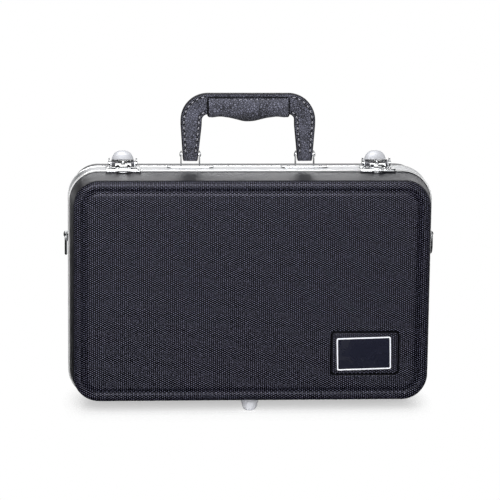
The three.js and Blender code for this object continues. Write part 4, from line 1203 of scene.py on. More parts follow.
def makeLever():
    form = latchForm
    pinY, pinZ, knuckle = form["leverPinY"], form["leverPinZ"], form["leverKnuckle"]
    bottom = form["seat"] + form["sheet"] + form["gap"]
    webEnd, tip = form["domeY"] - form["domeOverlap"], form["domeY"] + form["domeOverlap"]
    web = [(x, y + (pinY + webEnd) / 2) for x, y in roundedOutline(
        form["leverHalf"] - form["webIn"], (webEnd - pinY) / 2, form["webCorner"], 3)]
    # The lever's web takes the dark inner finish, painted shade under the hook.
    parts = [moved(paint(stampedPlate("web", [web], form["sheet"], form["edge"]), 2),
                   at(0, 0, bottom + form["sheet"] / 2))]
    flange = arcPoints(pinY, pinZ, knuckle, 180, 90, 6)
    flange += softenCorners([
        (pinY, pinZ + knuckle),
        (form["hookPinY"] + form["hookKnuckle"], form["leverFlangeTop"]),
        (tip, bottom + form["flangeFoot"]),
    ], form["flangeSoft"])[1:]
    flange += [(tip, bottom), (pinY - knuckle + form["flangeFoot"], bottom)]
    holes = [roundHole(y, z, form["pinRadius"] + form["leverPlay"])
             for y, z in ((pinY, pinZ), (form["hookPinY"], form["hookPinZ"]))]
    for sign in (-1, 1):
        side = stampedPlate("flange", [flange] + holes, form["leverFlange"], form["edge"])
        parts.append(standUp(side, sign * (form["leverHalf"] - form["leverFlange"] / 2)))
    parts.append(rolledSheet(knuckle, form["leverHalf"] - form["knuckleIn"], pinY, pinZ))
    parts.append(paint(thumbDome(bottom), 1))
    return joinMeshes("lever", parts)


def thumbDome(bottom):
    # Pressed thumb piece: an oval cup standing up, hollow from below.
    form = latchForm
    middle, wall, steps = form["domeY"], form["domeWall"], form["domeSteps"]
    tall = form["domeTop"] - bottom
    rings = []
    for i in range(steps):
        angle = i / steps * math.pi / 2
        share, rise = math.cos(angle) ** form["domeSquare"], math.sin(angle) ** form["domeRise"]
        rings.append([(form["domeHalf"] * share * c, middle + form["domeDeep"] * share * s,
                       bottom + tall * rise) for c, s in circle(form["domeRound"])])
    inner = [[(x * (1 - wall / form["domeHalf"]), middle + (y - middle) * (1 - wall / form["domeDeep"]),
               bottom + (z - bottom) * (1 - wall / tall)) for x, y, z in ring] for ring in rings]
    return loftMesh("dome", list(reversed(inner)) + rings)


def makeHook():
    form = latchForm
    half, pinY, lipY = form["sheet"] / 2, form["leverPinY"], form["lipY"]
    lipTop = form["seat"] + form["catchLip"] + form["gap"] + half
    line = softenCorners([
        (form["hookPinY"], form["hookPinZ"] + form["hookKnuckle"] - half),
        ((form["hookPinY"] + pinY) / 2, form["arch"] - half),
        (pinY, form["arch"]),
        (-pinY * form["archFront"], form["arch"] - half),
        (-lipY * form["archFall"], lipTop + half),
        (-lipY, lipTop),
        (-lipY, form["seat"] + form["sheet"] + form["gap"]),
    ], form["archSoft"], steps=5)
    length = lineLength(line)
    wide = form["leverHalf"] - form["leverFlange"] - form["sideGap"]
    waist, lipHalf, tipCorner = form["waist"], form["catchLipHalf"], form["tipCorner"]
    wideTo, waistAt, lipFrom, lipTo = (length * share for share in form["hookShares"])
    plan = [(wide, 0.0), (wide, wideTo)]
    plan += curveBetween((wide, wideTo), (waist, wideTo + form["waistTurn"]), (waist, waistAt))[1:]
    plan += curveBetween((waist, waistAt), (lipHalf, lipFrom), (lipHalf, lipTo))[1:]
    plan += curveBetween((lipHalf, length - tipCorner), (lipHalf, length),
                         (lipHalf - tipCorner, length))
    windowAt = arcLengthAt(line, form["windowY"])
    lipWindowAt = length - (form["lipWindowZ"] - line[-1][1])
    holes = [roundHole(0, arcLengthAt(line, 0.0), form["hubHole"])]
    for sign in (-1, 1):
        holes.append(ovalHole(sign * form["windowX"], windowAt, form["hubRadius"] * form["windowWide"],
                              form["hubRadius"] * form["windowLong"], -sign * form["windowTurn"]))
        holes.append(ovalHole(sign * form["lipWindowX"], lipWindowAt, form["lipWindowHalf"],
                              form["lipWindowHalfHeight"], sign * form["lipWindowTurn"]))
    plate = stampedPlate("hook", [mirrored(plan)] + holes, form["sheet"], form["edge"])
    bendSheet(plate, line)
    boss = moved(makeBoss(), at(0, 0, form["arch"] - half - form["hubSunk"]))
    return joinMeshes("hook", [plate, boss, rolledSheet(form["hookKnuckle"], wide, form["hookPinY"],
                                                        form["hookPinZ"])])


def arcLengthAt(line, y):
    travelled = 0.0
    for a, b in zip(line, line[1:]):
        if b[0] <= y <= a[0] or a[0] <= y <= b[0]:
            share = (y - a[0]) / (b[0] - a[0]) if b[0] != a[0] else 0
            return travelled + math.dist(a, b) * share
        travelled += math.dist(a, b)
    return travelled


def makeBoss():
    # Rounded boss with an open middle.
    form = latchForm
    outer, hole, height = form["hubRadius"], form["hubHole"], form["hubRise"] + form["hubSunk"]
    (inwards, innerRise), (outwards, outerRise) = form["hubInside"], form["hubOutside"]
    profile = softenCorners([
        (hole, 0), (hole, height * innerRise), (hole + inwards, height), (outer - outwards, height),
        (outer, height * outerRise), (outer, 0), (hole, 0),
    ], form["hubSoft"], steps=3)[:-1]
    rings = [[(r * c, r * s, h) for c, s in circle(form["hubRound"])] for r, h in profile]
    return loftMesh("boss", rings, hoop=True)


def makeCatch():
    form = latchForm
    half, wide, tab = form["sheet"] / 2, form["halfWidth"], form["tabHalf"]
    low = form["seat"] + half
    over = caseForm["beadRise"] + form["seat"] + half
    drop = -shellForm["frameInset"] + form["seat"] + half
    beadAt = -lidFrameDepth + frameForm["beadWidth"]
    line = softenCorners([
        (-form["plateStart"], low),
        (beadAt + form["sheet"], low),
        (beadAt - form["seat"], over),
        (-lidFrameDepth - form["seat"], over),
        (-lidFrameDepth - half - form["gap"], drop + half),
        (-form["tabReach"], drop - shellForm["draft"] * form["tabDrop"]),
    ], form["catchSoft"], steps=5)
    length = lineLength(line)
    shoulder = length - (form["tabReach"] - form["shoulderReach"])
    corner, bend = form["catchCorner"], form["shoulderCorner"]
    neck = (tab - form["tabNeck"][0], shoulder + form["tabNeck"][1])
    plan = curveBetween((wide - corner, 0.0), (wide, 0.0), (wide, corner), 4)
    plan += curveBetween((wide, shoulder - bend), (wide, shoulder), (wide - bend, shoulder), 5)
    plan += curveBetween((tab + form["tabFlare"], shoulder), (tab, shoulder), neck, 6)
    plan += curveBetween(neck, (tab - form["tabRound"], length), (0, length), 8)[1:]
    plate = stampedPlate("catch", [mirrored(plan)], form["sheet"], form["edge"])
    bendSheet(plate, line)
    parts = [plate]
    lipHeight = form["catchLip"] - half
    lip = [(x, y + low + lipHeight / 2) for x, y in roundedOutline(
        form["tongueHalf"], lipHeight / 2, form["tongueCorner"], 4)]
    lipHome = at(0, -form["lipY"] + half + form["gap"] + form["sheet"] / 2,
                 form["seat"] + form["catchLip"] - lipHeight - low)
    # The catch's lip takes the dark inner finish, painted shade under the hook.
    parts.append(moved(paint(stampedPlate("lip", [lip], form["sheet"], form["edge"]), 2),
                       lipHome @ Matrix.Rotation(math.pi / 2, 4, "X")))
    for sign in (-1, 1):
        x = sign * (form["catchLipHalf"] + form["halfWidth"]) / 2
        parts.append(moved(rivetHead(form["rivet"], form["catchRivetHeight"]),
                           at(x, -form["leverPinY"], form["seat"] + form["sheet"])))
    return joinMeshes("catch", parts)


def hookRod():
    # The hook's pin ends inside the lever and has chamfered ends.
    form = latchForm
    radius, chamfer = form["pinRadius"], form["hookPinChamfer"]
    reach = form["leverHalf"] - form["hookPinIn"]
    end = [(radius, reach - chamfer), (radius - chamfer, reach), (0, reach)]
    return revolve([(r, -h) for r, h in reversed(end)] + end, rodForm["round"], axis="x")


def makeLatches():
    form = latchForm
    for name, sign in sides:
        home = at(sign * form["spread"], seamY, frameTop)
        makers = (
            ("latch_plate", makeLatchPlate, "base"),
            ("latch_lever", makeLever, f"{name}_lever"),
            ("latch_hook", makeHook, f"{name}_hook"),
            ("latch_catch", makeCatch, "lid"),
        )
        for part, maker, body in makers:
            mesh = moved(maker(), home)
            showPiece(f"{name}_{part}_plated", mesh, [chrome, satinNickel, innerShadeSteel], body,
                      [f"{name}_{part}"])
        span = form["leverHalf"] + form["gap"] + form["cheekSheet"] + form["seat"]
        pin = moved(headedRod(form["pinRadius"], form["pinHead"], form["pinHeadLength"], span),
                    home @ at(0, form["leverPinY"], form["leverPinZ"]))
        showPiece(f"{name}_latch_pin_plated", pin, [chrome], "base", [f"{name}_latch_pin"])
        rod = moved(hookRod(), home @ at(0, form["hookPinY"], form["hookPinZ"]))
        showPiece(f"{name}_hook_pin_plated", rod, [chrome], f"{name}_lever",
                  [f"{name}_hook_pin"])


makeLatches()
print("latches pressed and pinned")


# Handle: a stitched strap bent over the top with a padded sleeve round its middle

handleForm = {
    "top": 74.7, "half": 67.1, "footZ": 6.8, "shoulderZ": 43, "legWidth": 21, "footWidth": 14.6,
    "middleX": -2.4, "footX": 57.2, "band": 21, "corner": 27, "thickness": 8.6, "y": 6.2,
    "edge": 1.8, "grooveIn": 3.1, "grooveHalf": 1.2, "grooveDepth": 0.3, "crown": 0.15,
    "grooveSlope": 0.3, "crownFrom": (0.6, 0.7), "seamIn": 0.35, "stitchRoom": 0.16,
    "pinches": (0.80, 0.93, 0.985),  # share of its thickness at the last three sections of each foot
    "endNarrowing": 0.95, "paintedBelow": 0.86, "topSteps": 26, "cornerSteps": 16, "legSteps": 22,
}
stitchForm = {
    "pitch": 5.6, "length": 3.1, "radius": 0.55, "rise": 0.35, "margin": 9.0, "lean": 0.12, "seed": 7,
    "bow": 0.5, "steps": 8, "sides": 8, "tip": 0.35, "tipShare": 0.03, "plump": 0.4,
    "hole": 1.25, "holeFlat": 0.8, "holeDeep": 0.12, "holeDish": 0.1, "holeSides": 12,
}


def handleHome():
    return at(handleForm["middleX"], seamY, frameTop)


def strapStations():
    # (x, z, direction x, direction z, half width) from the left foot over the top to the right foot.
    form = handleForm
    right = []
    cornerX, cornerZ = form["half"] - form["corner"], form["top"] - form["corner"]
    halfBand, topSteps = form["band"] / 2, form["topSteps"] // 2
    for i in range(topSteps + 1):
        right.append((cornerX * i / topSteps, form["top"] - halfBand, halfBand))
    for i in range(1, form["cornerSteps"] + 1):
        t = i / form["cornerSteps"]
        angle = math.pi / 2 * (1 - t)
        half = halfBand + (form["legWidth"] - form["band"]) / 2 * t
        reach = form["corner"] - half
        right.append((cornerX + reach * math.cos(angle), cornerZ + reach * math.sin(angle), half))
    startX, startZ = right[-1][0], right[-1][1]
    for i in range(1, form["legSteps"] + 1):
        t = i / form["legSteps"]
        bend = t * t * (3 - 2 * t) * 0.5 + t * 0.5
        z = startZ + (form["footZ"] - startZ) * t
        x = startX + (form["footX"] - startX) * bend
        fade = max(0.0, (form["shoulderZ"] - z) / (form["shoulderZ"] - form["footZ"]))
        half = form["legWidth"] / 2 - (form["legWidth"] - form["footWidth"]) / 2 * fade
        right.append((x, z, half))
    line = [(-x, z, half) for x, z, half in reversed(right)] + right[1:]
    stations = []
    for i, (x, z, half) in enumerate(line):
        before, after = line[max(i - 1, 0)], line[min(i + 1, len(line) - 1)]
        length = math.hypot(after[0] - before[0], after[1] - before[1])
        stations.append((x, z, (after[0] - before[0]) / length, (after[1] - before[1]) / length, half))
    return stations


def strapSection(half, thick):
    # (across, off) round one section, from the outer edge over the front to the inner edge and back.
    form = handleForm
    edge, deep = form["edge"], form["grooveDepth"]
    start, end = form["grooveIn"] - form["grooveHalf"], form["grooveIn"] + form["grooveHalf"]
    quarter = [(edge * (1 - math.cos(a)), thick - edge * (1 - math.sin(a)))
               for a in (i / 4 * math.pi / 2 for i in range(5))]
    slope, (crownAt, crownShare) = form["grooveSlope"], form["crownFrom"]
    front = quarter + [
        (start, thick), (start + slope, thick - deep), (end - slope, thick - deep), (end, thick),
        (half * crownAt, thick + form["crown"] * crownShare),
    ]
    face = [(half - e, o) for e, o in front] + [(0, thick + form["crown"])]
    face += [(-(half - e), o) for e, o in reversed(front)]
    seam = half - form["seamIn"]
    return face + [(-seam, 0.0)] + [(v, -o) for v, o in reversed(face)] + [(seam, 0.0)]


def makeStrap():
    form = handleForm
    rings = []
    stations = strapStations()
    last = len(stations) - 1
    thick = form["thickness"] / 2 - form["stitchRoom"]
    for i, (x, z, dx, dz, half) in enumerate(stations):
        fromEnd = min(i, last - i)
        pinch = form["pinches"][fromEnd] if fromEnd < len(form["pinches"]) else 1.0
        narrowing = 1 if fromEnd else form["endNarrowing"]
        rings.append([(x - dz * v * narrowing, form["y"] - o * pinch, z + dx * v)
                      for v, o in strapSection(half, thick)])
    mesh = moved(loftMesh("strap", rings), handleHome())
    paintEdges(mesh)
    showPiece("strap_leather", mesh, [leather, edgePaint], "handle", ["handle_strap"], 60)
    return stations


def paintEdges(mesh):
    # Faces that look outwards from the strap's edges, not to the front or back, take the edge paint.
    for polygon in mesh.polygons:
        polygon.material_index = 1 if abs(polygon.normal.y) < handleForm["paintedBelow"] else 0


def stitchMesh(start, end, off, sink, radius):
    # One stitch between two points, bowed up off the leather, with both ends sunk.
    form = stitchForm
    points = []
    for i in range(form["steps"] + 1):
        t = i / form["steps"]
        rise = math.sin(t * math.pi) ** form["bow"] * (sink * 2) - sink
        points.append(start.lerp(end, t) + off * rise)

    def thickness(t):
        along = min(max(t, form["tipShare"]), 1 - form["tipShare"])
        return radius * (form["tip"] + (1 - form["tip"]) * math.sin(along * math.pi) ** form["plump"])

    return sweepTube(points, thickness, form["sides"], False)


def walk(path, pitch, length, offset=0.0):
    # Start and end places of stitches at an even pitch along a dense path of vectors.
    lengths = [0.0]
    for a, b in zip(path, path[1:]):
        lengths.append(lengths[-1] + (b - a).length)
    total = lengths[-1]
    count = int((total - length - 2 * offset) // pitch) + 1
    even = (total - length - 2 * offset) / max(count - 1, 1)

    def pointAt(s):
        i = min(max(int(np.searchsorted(lengths, s)) - 1, 0), len(path) - 2)
        return path[i].lerp(path[i + 1], (s - lengths[i]) / (lengths[i + 1] - lengths[i]))

    return [(pointAt(offset + k * even), pointAt(offset + k * even + length)) for k in range(count)]


def makeStitches(stations):
    form = stitchForm
    draw = random.Random(form["seed"])
    parts, holes = [], []
    surface = handleForm["thickness"] / 2 - handleForm["stitchRoom"] - handleForm["grooveDepth"]
    sleeveTop = gripForm["top"] + gripForm["stitchRoom"]
    for face in (-1, 1):
        off = Vector((0, face, 0))
        for edge in (-1, 1):
            path = []
            for x, z, dx, dz, half in stations:
                v = edge * (half - handleForm["grooveIn"])
                path.append(Vector((x - dz * v, handleForm["y"] + face * surface, z + dx * v)))
            for start, end in walk(path, form["pitch"], form["length"], form["margin"]):
                middle = (start + end) / 2
                if abs(middle.x) < gripForm["half"] and middle.z < sleeveTop:
                    continue
                lean = Vector((draw.uniform(-form["lean"], form["lean"]), 0,
                               draw.uniform(-form["lean"], form["lean"])))
                parts.append(stitchMesh(start + lean, end - lean, off, form["rise"], form["radius"]))
                holes += [awlHole(p, off) for p in (start + lean, end - lean)]
    return parts, holes


def awlHole(point, off):
    # A near-black disc at each needle hole, lying just proud of the groove's floor: painted shade for
    # the hole.
    form = stitchForm
    hole, deep = form["hole"], form["holeDeep"]
    disc = revolve([(0, deep), (hole * form["holeFlat"], form["holeDish"]), (hole, -deep), (0, -deep)],
                   form["holeSides"])
    turn = off.to_track_quat("Z", "Y").to_matrix().to_4x4()
    return moved(disc, Matrix.Translation(Vector(point) * mm) @ turn)


gripForm = {
    "half": 41.3, "top": 71.6, "endBottom": 51, "middleBottom": 47.1, "depth": 10.5, "lipDepth": 5.7,
    "swellShare": 0.56, "hollowShare": 0.68, "hollowRise": 0.9, "hollowSpread": 0.14,
    "endRound": 3.6, "seamIn": 2.6, "seamShift": 0.3, "seamWidth": 0.55, "seamDepth": 0.5,
    "bellyRound": 0.8, "topRound": 0.35, "lipRound": 0.25, "turnedEdge": 1.7, "topShadowStrip": 1.1,
    "underHigh": 0.05, "underDeep": 0.3, "underTurn": 0.2, "stitchRoom": 0.5, "stations": 78,
    "sectionSteps": 56,
}
gripStitchForm = {
    "drop": 2.6, "margin": 3.5, "pitch": 5.2, "length": 3.5, "rise": 0.25, "radius": 0.38,
    "proud": 0.22, "pathPoints": 60,
}
rumpleForm = {
    "seed": 11, "start": 4, "fade": 14,  # below the sleeve's top, and how far down until it is full
    "coreZ": 61, "wave": 0.34, "waveScale": (0.11, 0.09, 0.22), "fine": 0.13,
    "fineScale": (0.34, 0.3, 0.5), "fineShift": (9, 4, 2),
}
gripShares = [  # (share of depth beyond the lip, share of height) from the lip round to the bottom
    (0.00, 1.00), (0.02, 0.93), (0.22, 0.86), (0.62, 0.76), (0.90, 0.60), (1.00, 0.42), (0.94, 0.22),
    (0.66, 0.07), (0.20, 0.00),
]


def smoothLine(points, count):
    # Catmull-Rom through the points, sampled evenly by parameter.
    padded = [points[0]] + list(points) + [points[-1]]
    found = []
    spans = len(points) - 1
    for k in range(count):
        t = k / (count - 1) * spans
        i = min(int(t), spans - 1)
        u = t - i
        p0, p1, p2, p3 = (np.array(padded[i + j], float) for j in range(4))
        found.append(tuple(0.5 * (2 * p1 + (p2 - p0) * u + (2 * p0 - 5 * p1 + 4 * p2 - p3) * u ** 2
                                  + (3 * p1 - p0 - 3 * p2 + p3) * u ** 3)))
    return found


def gripRing(share):
    form = gripForm
    swell = (1 + math.cos(math.pi * min(1, abs(share) / form["swellShare"]))) / 2
    bottom = form["endBottom"] - (form["endBottom"] - form["middleBottom"]) * swell
    hollow = (abs(share) - form["hollowShare"]) / form["hollowSpread"]
    bottom += form["hollowRise"] * math.exp(-hollow ** 2)
    fromEnd = (1 - abs(share)) * form["half"]
    rounding = 0.0
    if fromEnd < form["endRound"]:
        turned = 1 - (1 - fromEnd / form["endRound"]) ** 2
        rounding = form["endRound"] * (1 - math.sqrt(max(0.0, turned)))
    fromSeam = fromEnd - form["seamIn"] - form["endRound"] * form["seamShift"]
    seam = form["seamDepth"] * math.exp(-(fromSeam / form["seamWidth"]) ** 2)
    belly = form["depth"] - form["lipDepth"] - (rounding + seam) * form["bellyRound"]
    bottom += rounding + seam
    height = form["top"] - rounding * form["topRound"] - bottom
    side = []
    for deep, high in smoothLine(gripShares, form["sectionSteps"] // 2):
        if high > form["underHigh"] or deep > form["underDeep"]:
            reach = form["lipDepth"] - rounding * form["lipRound"] + deep * belly
        else:  # the underside closes towards the middle
            reach = (form["lipDepth"] + form["underTurn"] * belly) * (deep / form["underTurn"])
        side.append((reach, bottom + high * height))
    front = [(share * form["half"], handleForm["y"] - y, z) for y, z in side]
    back = [(share * form["half"], handleForm["y"] + y, z) for y, z in reversed(side)]
    return front + back


def makeGrip():
    form = gripForm
    rings = []
    for k in range(form["stations"]):
        t = k / (form["stations"] - 1)
        share = -math.cos(t * math.pi) * 0.5 + (t - 0.5)  # closer together towards both ends
        rings.append(gripRing(max(-1, min(1, share))))
    mesh = loftMesh("grip", rings)
    rumple(mesh)
    # The sleeve's turned ends take the near-black finish, and so does a strip along its top edge,
    # painted shadow under the lip.
    for polygon in mesh.polygons:
        x, unused, z = polygon.center / mm
        isTurnedOrShadowed = abs(x) > form["half"] - form["turnedEdge"] or z > form["top"] - form["topShadowStrip"]
        polygon.material_index = 1 if isTurnedOrShadowed else 0
    mesh = moved(mesh, handleHome())
    piece = showPiece("grip_padded", mesh, [gripLeather, needleHole], "handle",
                      ["handle_grip"], 70)
    level = piece.modifiers.new("soft", "SUBSURF")
    level.levels = 1
    level.render_levels = 1


def rumple(mesh):
    # Shallow hollows and pulls in the leather, deepest low down where the sleeve is gathered.
    form = rumpleForm
    fieldNoise.seed_set(form["seed"])
    shift = Vector(form["fineShift"])
    for vertex in mesh.vertices:
        spot = vertex.co / mm
        low = min(1, max(0, (gripForm["top"] - form["start"] - spot.z) / form["fade"]))
        waveSpot, fineSpot = (Vector([p * scale for p, scale in zip(spot, form[key])])
                              for key in ("waveScale", "fineScale"))
        wave, fine = fieldNoise.noise(waveSpot), fieldNoise.noise(fineSpot + shift)
        push = (form["wave"] * wave + form["fine"] * fine) * low
        away = Vector((0, spot.y - handleForm["y"], spot.z - form["coreZ"])).normalized()
        vertex.co += away * push * mm


def gripStitches():
    form = gripStitchForm
    parts, holes = [], []
    reach = gripForm["half"] - form["margin"]
    for face in (-1, 1):
        off = Vector((0, face, 0))
        y = handleForm["y"] + face * (gripForm["lipDepth"] + form["proud"])
        path = [Vector((x, y, gripForm["top"] - form["drop"]))
                for x in np.linspace(-reach, reach, form["pathPoints"])]
        for start, end in walk(path, form["pitch"], form["length"]):
            parts.append(stitchMesh(start, end, off, form["rise"], form["radius"]))
            holes += [awlHole(p, off) for p in (start, end)]
    return parts, holes


def makeHandle():
    home = handleHome()
    stitches, holes = makeStitches(makeStrap())
    makeGrip()
    sleeveStitches, sleeveHoles = gripStitches()
    threadMesh = moved(joinMeshes("stitches", stitches + sleeveStitches), home)
    showPiece("handle_stitches", threadMesh, [thread], "handle")
    holeMesh = moved(joinMeshes("holes", holes + sleeveHoles), home)
    showPiece("handle_needle_hole_shades", holeMesh, [needleHole], "handle")


makeHandle()
print("handle sewn")


# Handle brackets

bracketForm = {
    "spread": 57.2, "halfLength": 23.5, "halfDepth": 5.2, "y": 6.2, "sheet": 1, "earHalfGap": 8.7,
    "earSheet": 1, "earHalfDepth": 4, "pinZ": 13, "pinRadius": 1.5, "pinHead": 2.4, "pinHeadLength": 1,
    "rivet": 2, "rivetHeight": 0.9, "edge": 0.3, "seat": 0.1, "earSeat": 0.3, "pinPlay": 0.2,
    "endFlat": 0.05,
}


def makeBracket():
    form = bracketForm
    middle, reach, earStart = form["y"], form["earHalfDepth"], form["seat"] + form["earSeat"]
    outline = [(x, y + middle) for x, y in roundedOutline(
        form["halfLength"], form["halfDepth"], form["halfDepth"] - form["endFlat"], 10)]
    parts = [moved(stampedPlate("foot", [outline], form["sheet"], form["edge"]),
                   at(0, 0, form["seat"] + form["sheet"] / 2))]
    ear = [(middle - reach, earStart)]
    ear += list(reversed(arcPoints(middle, form["pinZ"], reach, 0, 180, 14)))
    ear += [(middle + reach, earStart)]
    hole = roundHole(middle, form["pinZ"], form["pinRadius"] + form["pinPlay"])
    for sign in (-1, 1):
        x = sign * (form["earHalfGap"] + form["earSheet"] / 2)
        parts.append(standUp(stampedPlate("ear", [ear, hole], form["earSheet"], form["edge"]), x))
        rivetX = sign * (form["halfLength"] + form["earHalfGap"]) / 2
        parts.append(moved(rivetHead(form["rivet"], form["rivetHeight"]),
                           at(rivetX, middle, form["seat"] + form["sheet"])))
    return joinMeshes("bracket", parts)


def makeBrackets():
    form = bracketForm
    for name, sign in sides:
        home = at(handleForm["middleX"] + sign * form["spread"], seamY, frameTop)
        showPiece(f"{name}_bracket_plated", moved(makeBracket(), home), [chrome], "base",
                  [f"{name}_handle_bracket"])
        span = form["earHalfGap"] + form["earSheet"] + form["seat"]
        pin = moved(headedRod(form["pinRadius"], form["pinHead"], form["pinHeadLength"], span),
                    home @ at(0, form["y"], form["pinZ"]))
        showPiece(f"{name}_handle_pin_plated", pin, [chrome], "base", [f"{name}_handle_pin"])


makeBrackets()
print("brackets riveted")


# Strap rings

ringForm = {
    "height": 171.5, "y": 6.2, "wire": 1.3, "half": 9, "drop": 20, "wireSides": 16,
    "clipHalfHeight": 4.5, "clipHalfDepth": 4.6, "clipCorner": 0.9, "clipSheet": 1,
    "clipEdge": 0.25, "knuckle": 2.4, "knuckleEdge": 0.2, "knuckleRound": 24, "play": 0.25, "seat": 0.1,
}


def ringRoute():
    # (y, z) round the wire: two rounded corners on the clip's bar and a half circle below.
    form = ringForm
    half, corner = form["half"], 2 * form["wire"]
    route = []
    for sign, quarter in ((1, 0), (-1, 1)):
        for i in range(7):
            angle = (quarter + i / 6) * math.pi / 2
            route.append((sign * (half - corner) + corner * math.cos(angle),
                          -corner + corner * math.sin(angle)))
    for i in range(25):
        angle = math.pi + i / 24 * math.pi
        route.append((half * math.cos(angle), -(form["drop"] - half) + half * math.sin(angle)))
    return route


def makeRings():
    form = ringForm
    axisX = halfWidth + form["seat"] + form["knuckle"]
    barZ = form["height"] + form["clipHalfHeight"] - form["knuckle"]
    clipX = halfWidth + form["seat"] + form["clipSheet"] / 2
    half = min(form["half"] - 2 * form["wire"], form["clipHalfDepth"])
    bore, knuckle, edge = form["wire"] + form["play"], form["knuckle"], form["knuckleEdge"]
    profile = ((bore, -half), (knuckle - edge, -half), (knuckle, -half + edge), (knuckle, half - edge),
               (knuckle - edge, half), (bore, half))
    for name, sign in sides:
        wire = sweepTube([(sign * axisX, seamY + form["y"] + u, barZ + v) for u, v in ringRoute()],
                         form["wire"], form["wireSides"], True)
        showPiece(f"{name}_ring_wire", wire, [chrome], f"{name}_ring", [f"{name}_strap_ring"])
        outline = roundedOutline(form["clipHalfDepth"], form["clipHalfHeight"], form["clipCorner"], 4)
        clip = moved(stampedPlate("clip", [outline], form["clipSheet"], form["clipEdge"]),
                     at(sign * clipX, seamY + form["y"], form["height"]) @ standing)
        roll = [[(sign * axisX + radius * c, seamY + form["y"] + y, barZ + radius * s)
                 for c, s in circle(form["knuckleRound"])] for radius, y in profile]
        parts = [clip, loftMesh("roll", roll, hoop=True)]
        showPiece(f"{name}_clip_plated", joinMeshes("clip", parts), [chrome], "base",
                  [f"{name}_ring_clip"])


makeRings()
print("strap rings hung")


# Feet

footForm = {
    "height": 9.5, "radius": 8.6, "flat": 4, "step": 1.4, "stepRadius": 7.9, "stepEdge": 0.2,
    "collar": 1.2, "steps": 12, "round": 48, "seat": 0.25, "lidReach": 28, "baseReach": 34,
    "baseSpread": 118,
}


def makeFoot(side, reach, depth, frameDepth, x, name, body, node):
    # A domed plated foot whose upper edge follows the shell's slope.
    form = footForm
    profile = [(form["flat"], 0)]
    for i in range(1, form["steps"] + 1):
        angle = i / form["steps"] * math.pi / 2
        profile.append((form["flat"] + (form["stepRadius"] - form["flat"]) * math.sin(angle),
                        (form["height"] - form["step"]) * (1 - math.cos(angle))))
    profile += [(form["radius"] - form["stepEdge"], form["height"] - form["step"]),
                (form["radius"], form["height"] - form["collar"])]
    slope = shellForm["draft"] / (depth - shellForm["edgeRound"] - frameDepth)
    surface = frameBottom + shellForm["frameInset"] + (reach - frameDepth) * slope
    y = seamY + side * reach
    rings = [[(x + radius * c, y + radius * s, height) for c, s in circle(form["round"])]
             for radius, height in profile]
    rings.append([(x + form["radius"] * c, y + form["radius"] * s,
                   surface + form["radius"] * s * side * slope - form["seat"])
                  for c, s in circle(form["round"])])
    showPiece(name, loftMesh(name, rings), [frostedNickel], body, [node], 30)


makeFoot(lidSide, footForm["lidReach"], lidDepth, lidFrameDepth, 0, "front_foot_plated", "lid",
         "front_foot")
for name, sign in sides:
    makeFoot(baseSide, footForm["baseReach"], baseDepth, baseFrameDepth, sign * footForm["baseSpread"],
             f"{name}_rear_foot_plated", "base", f"{name}_rear_foot")
print("feet set")


# Hinges keep their own shape and get the plated finish with smooth shading

def dressHinges():
    for name, unused in sides:
        for part in ("hinge_base_leaf", "hinge_lid_leaf", "hinge_pin"):
            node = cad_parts[f"{name}_{part}"]
            node.data.materials.clear()
            node.data.materials.append(chrome)
            node.data.shade_smooth()
            node.data.set_sharp_from_angle(angle=math.radians(35))


dressHinges()


# Plush tray and lid lining: foam-backed pile, softened from the frame's plain solids

liningForm = {"voxel": 2.0, "smooth": 6, "smoothShare": 0.5}


def softCopy(node, name, body):
    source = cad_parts[node]
    piece = bpy.data.objects.new(name, source.data.copy())
    bpy.context.scene.collection.objects.link(piece)
    remesh = piece.modifiers.new("pile", "REMESH")
    remesh.mode = "VOXEL"
    remesh.voxel_size = liningForm["voxel"] * mm * 1
    smooth = piece.modifiers.new("settle", "SMOOTH")
    smooth.factor = liningForm["smoothShare"]
    smooth.iterations = liningForm["smooth"]
    evaluated = piece.evaluated_get(bpy.context.evaluated_depsgraph_get())
    soft = bpy.data.meshes.new_from_object(evaluated)
    bpy.data.objects.remove(piece)
    made = showPiece(name, soft, [plush], body, [node], sharpAbove=179)


softCopy("base_tray", "tray_plush", "base")
softCopy("lid_lining", "lid_plush", "lid")
print("tray and lining covered")


# Floor, light and camera

stageForm = {
    "floorSize": 60.0,
    "shadowShare": 0.52,  # how much of the floor's own shading the camera sees beside the case
    "shadowReach": 0.08,
    "shadowHalfWidth": 0.16,
    "sideFade": 2.8,  # how much faster the shadow fades beside the case than in front of it
    "glossNear": 0.012,  # how bright gloss sees the floor round the case
    "glossFrom": 1.3,
    "glossReach": 3.0,
    "skyFill": 0.42,
    "roomShade": 0.015,  # what the studio's dark walls give back to gloss
    "backdropTop": 0.42,  # sine of the height angle where the white backdrop ends
    "backdropLeft": -0.13,
    "backdropEdge": 0.12,
    "backdropLeftEdge": 0.03,
    "backSide": (0.1, 0.45),
    "ceilingFrom": 0.66,  # and where the bright ceiling starts
    "ceilingEdge": 0.14,
    "ceilingGlow": 0.15,
    "floorWhite": 0.96,
}


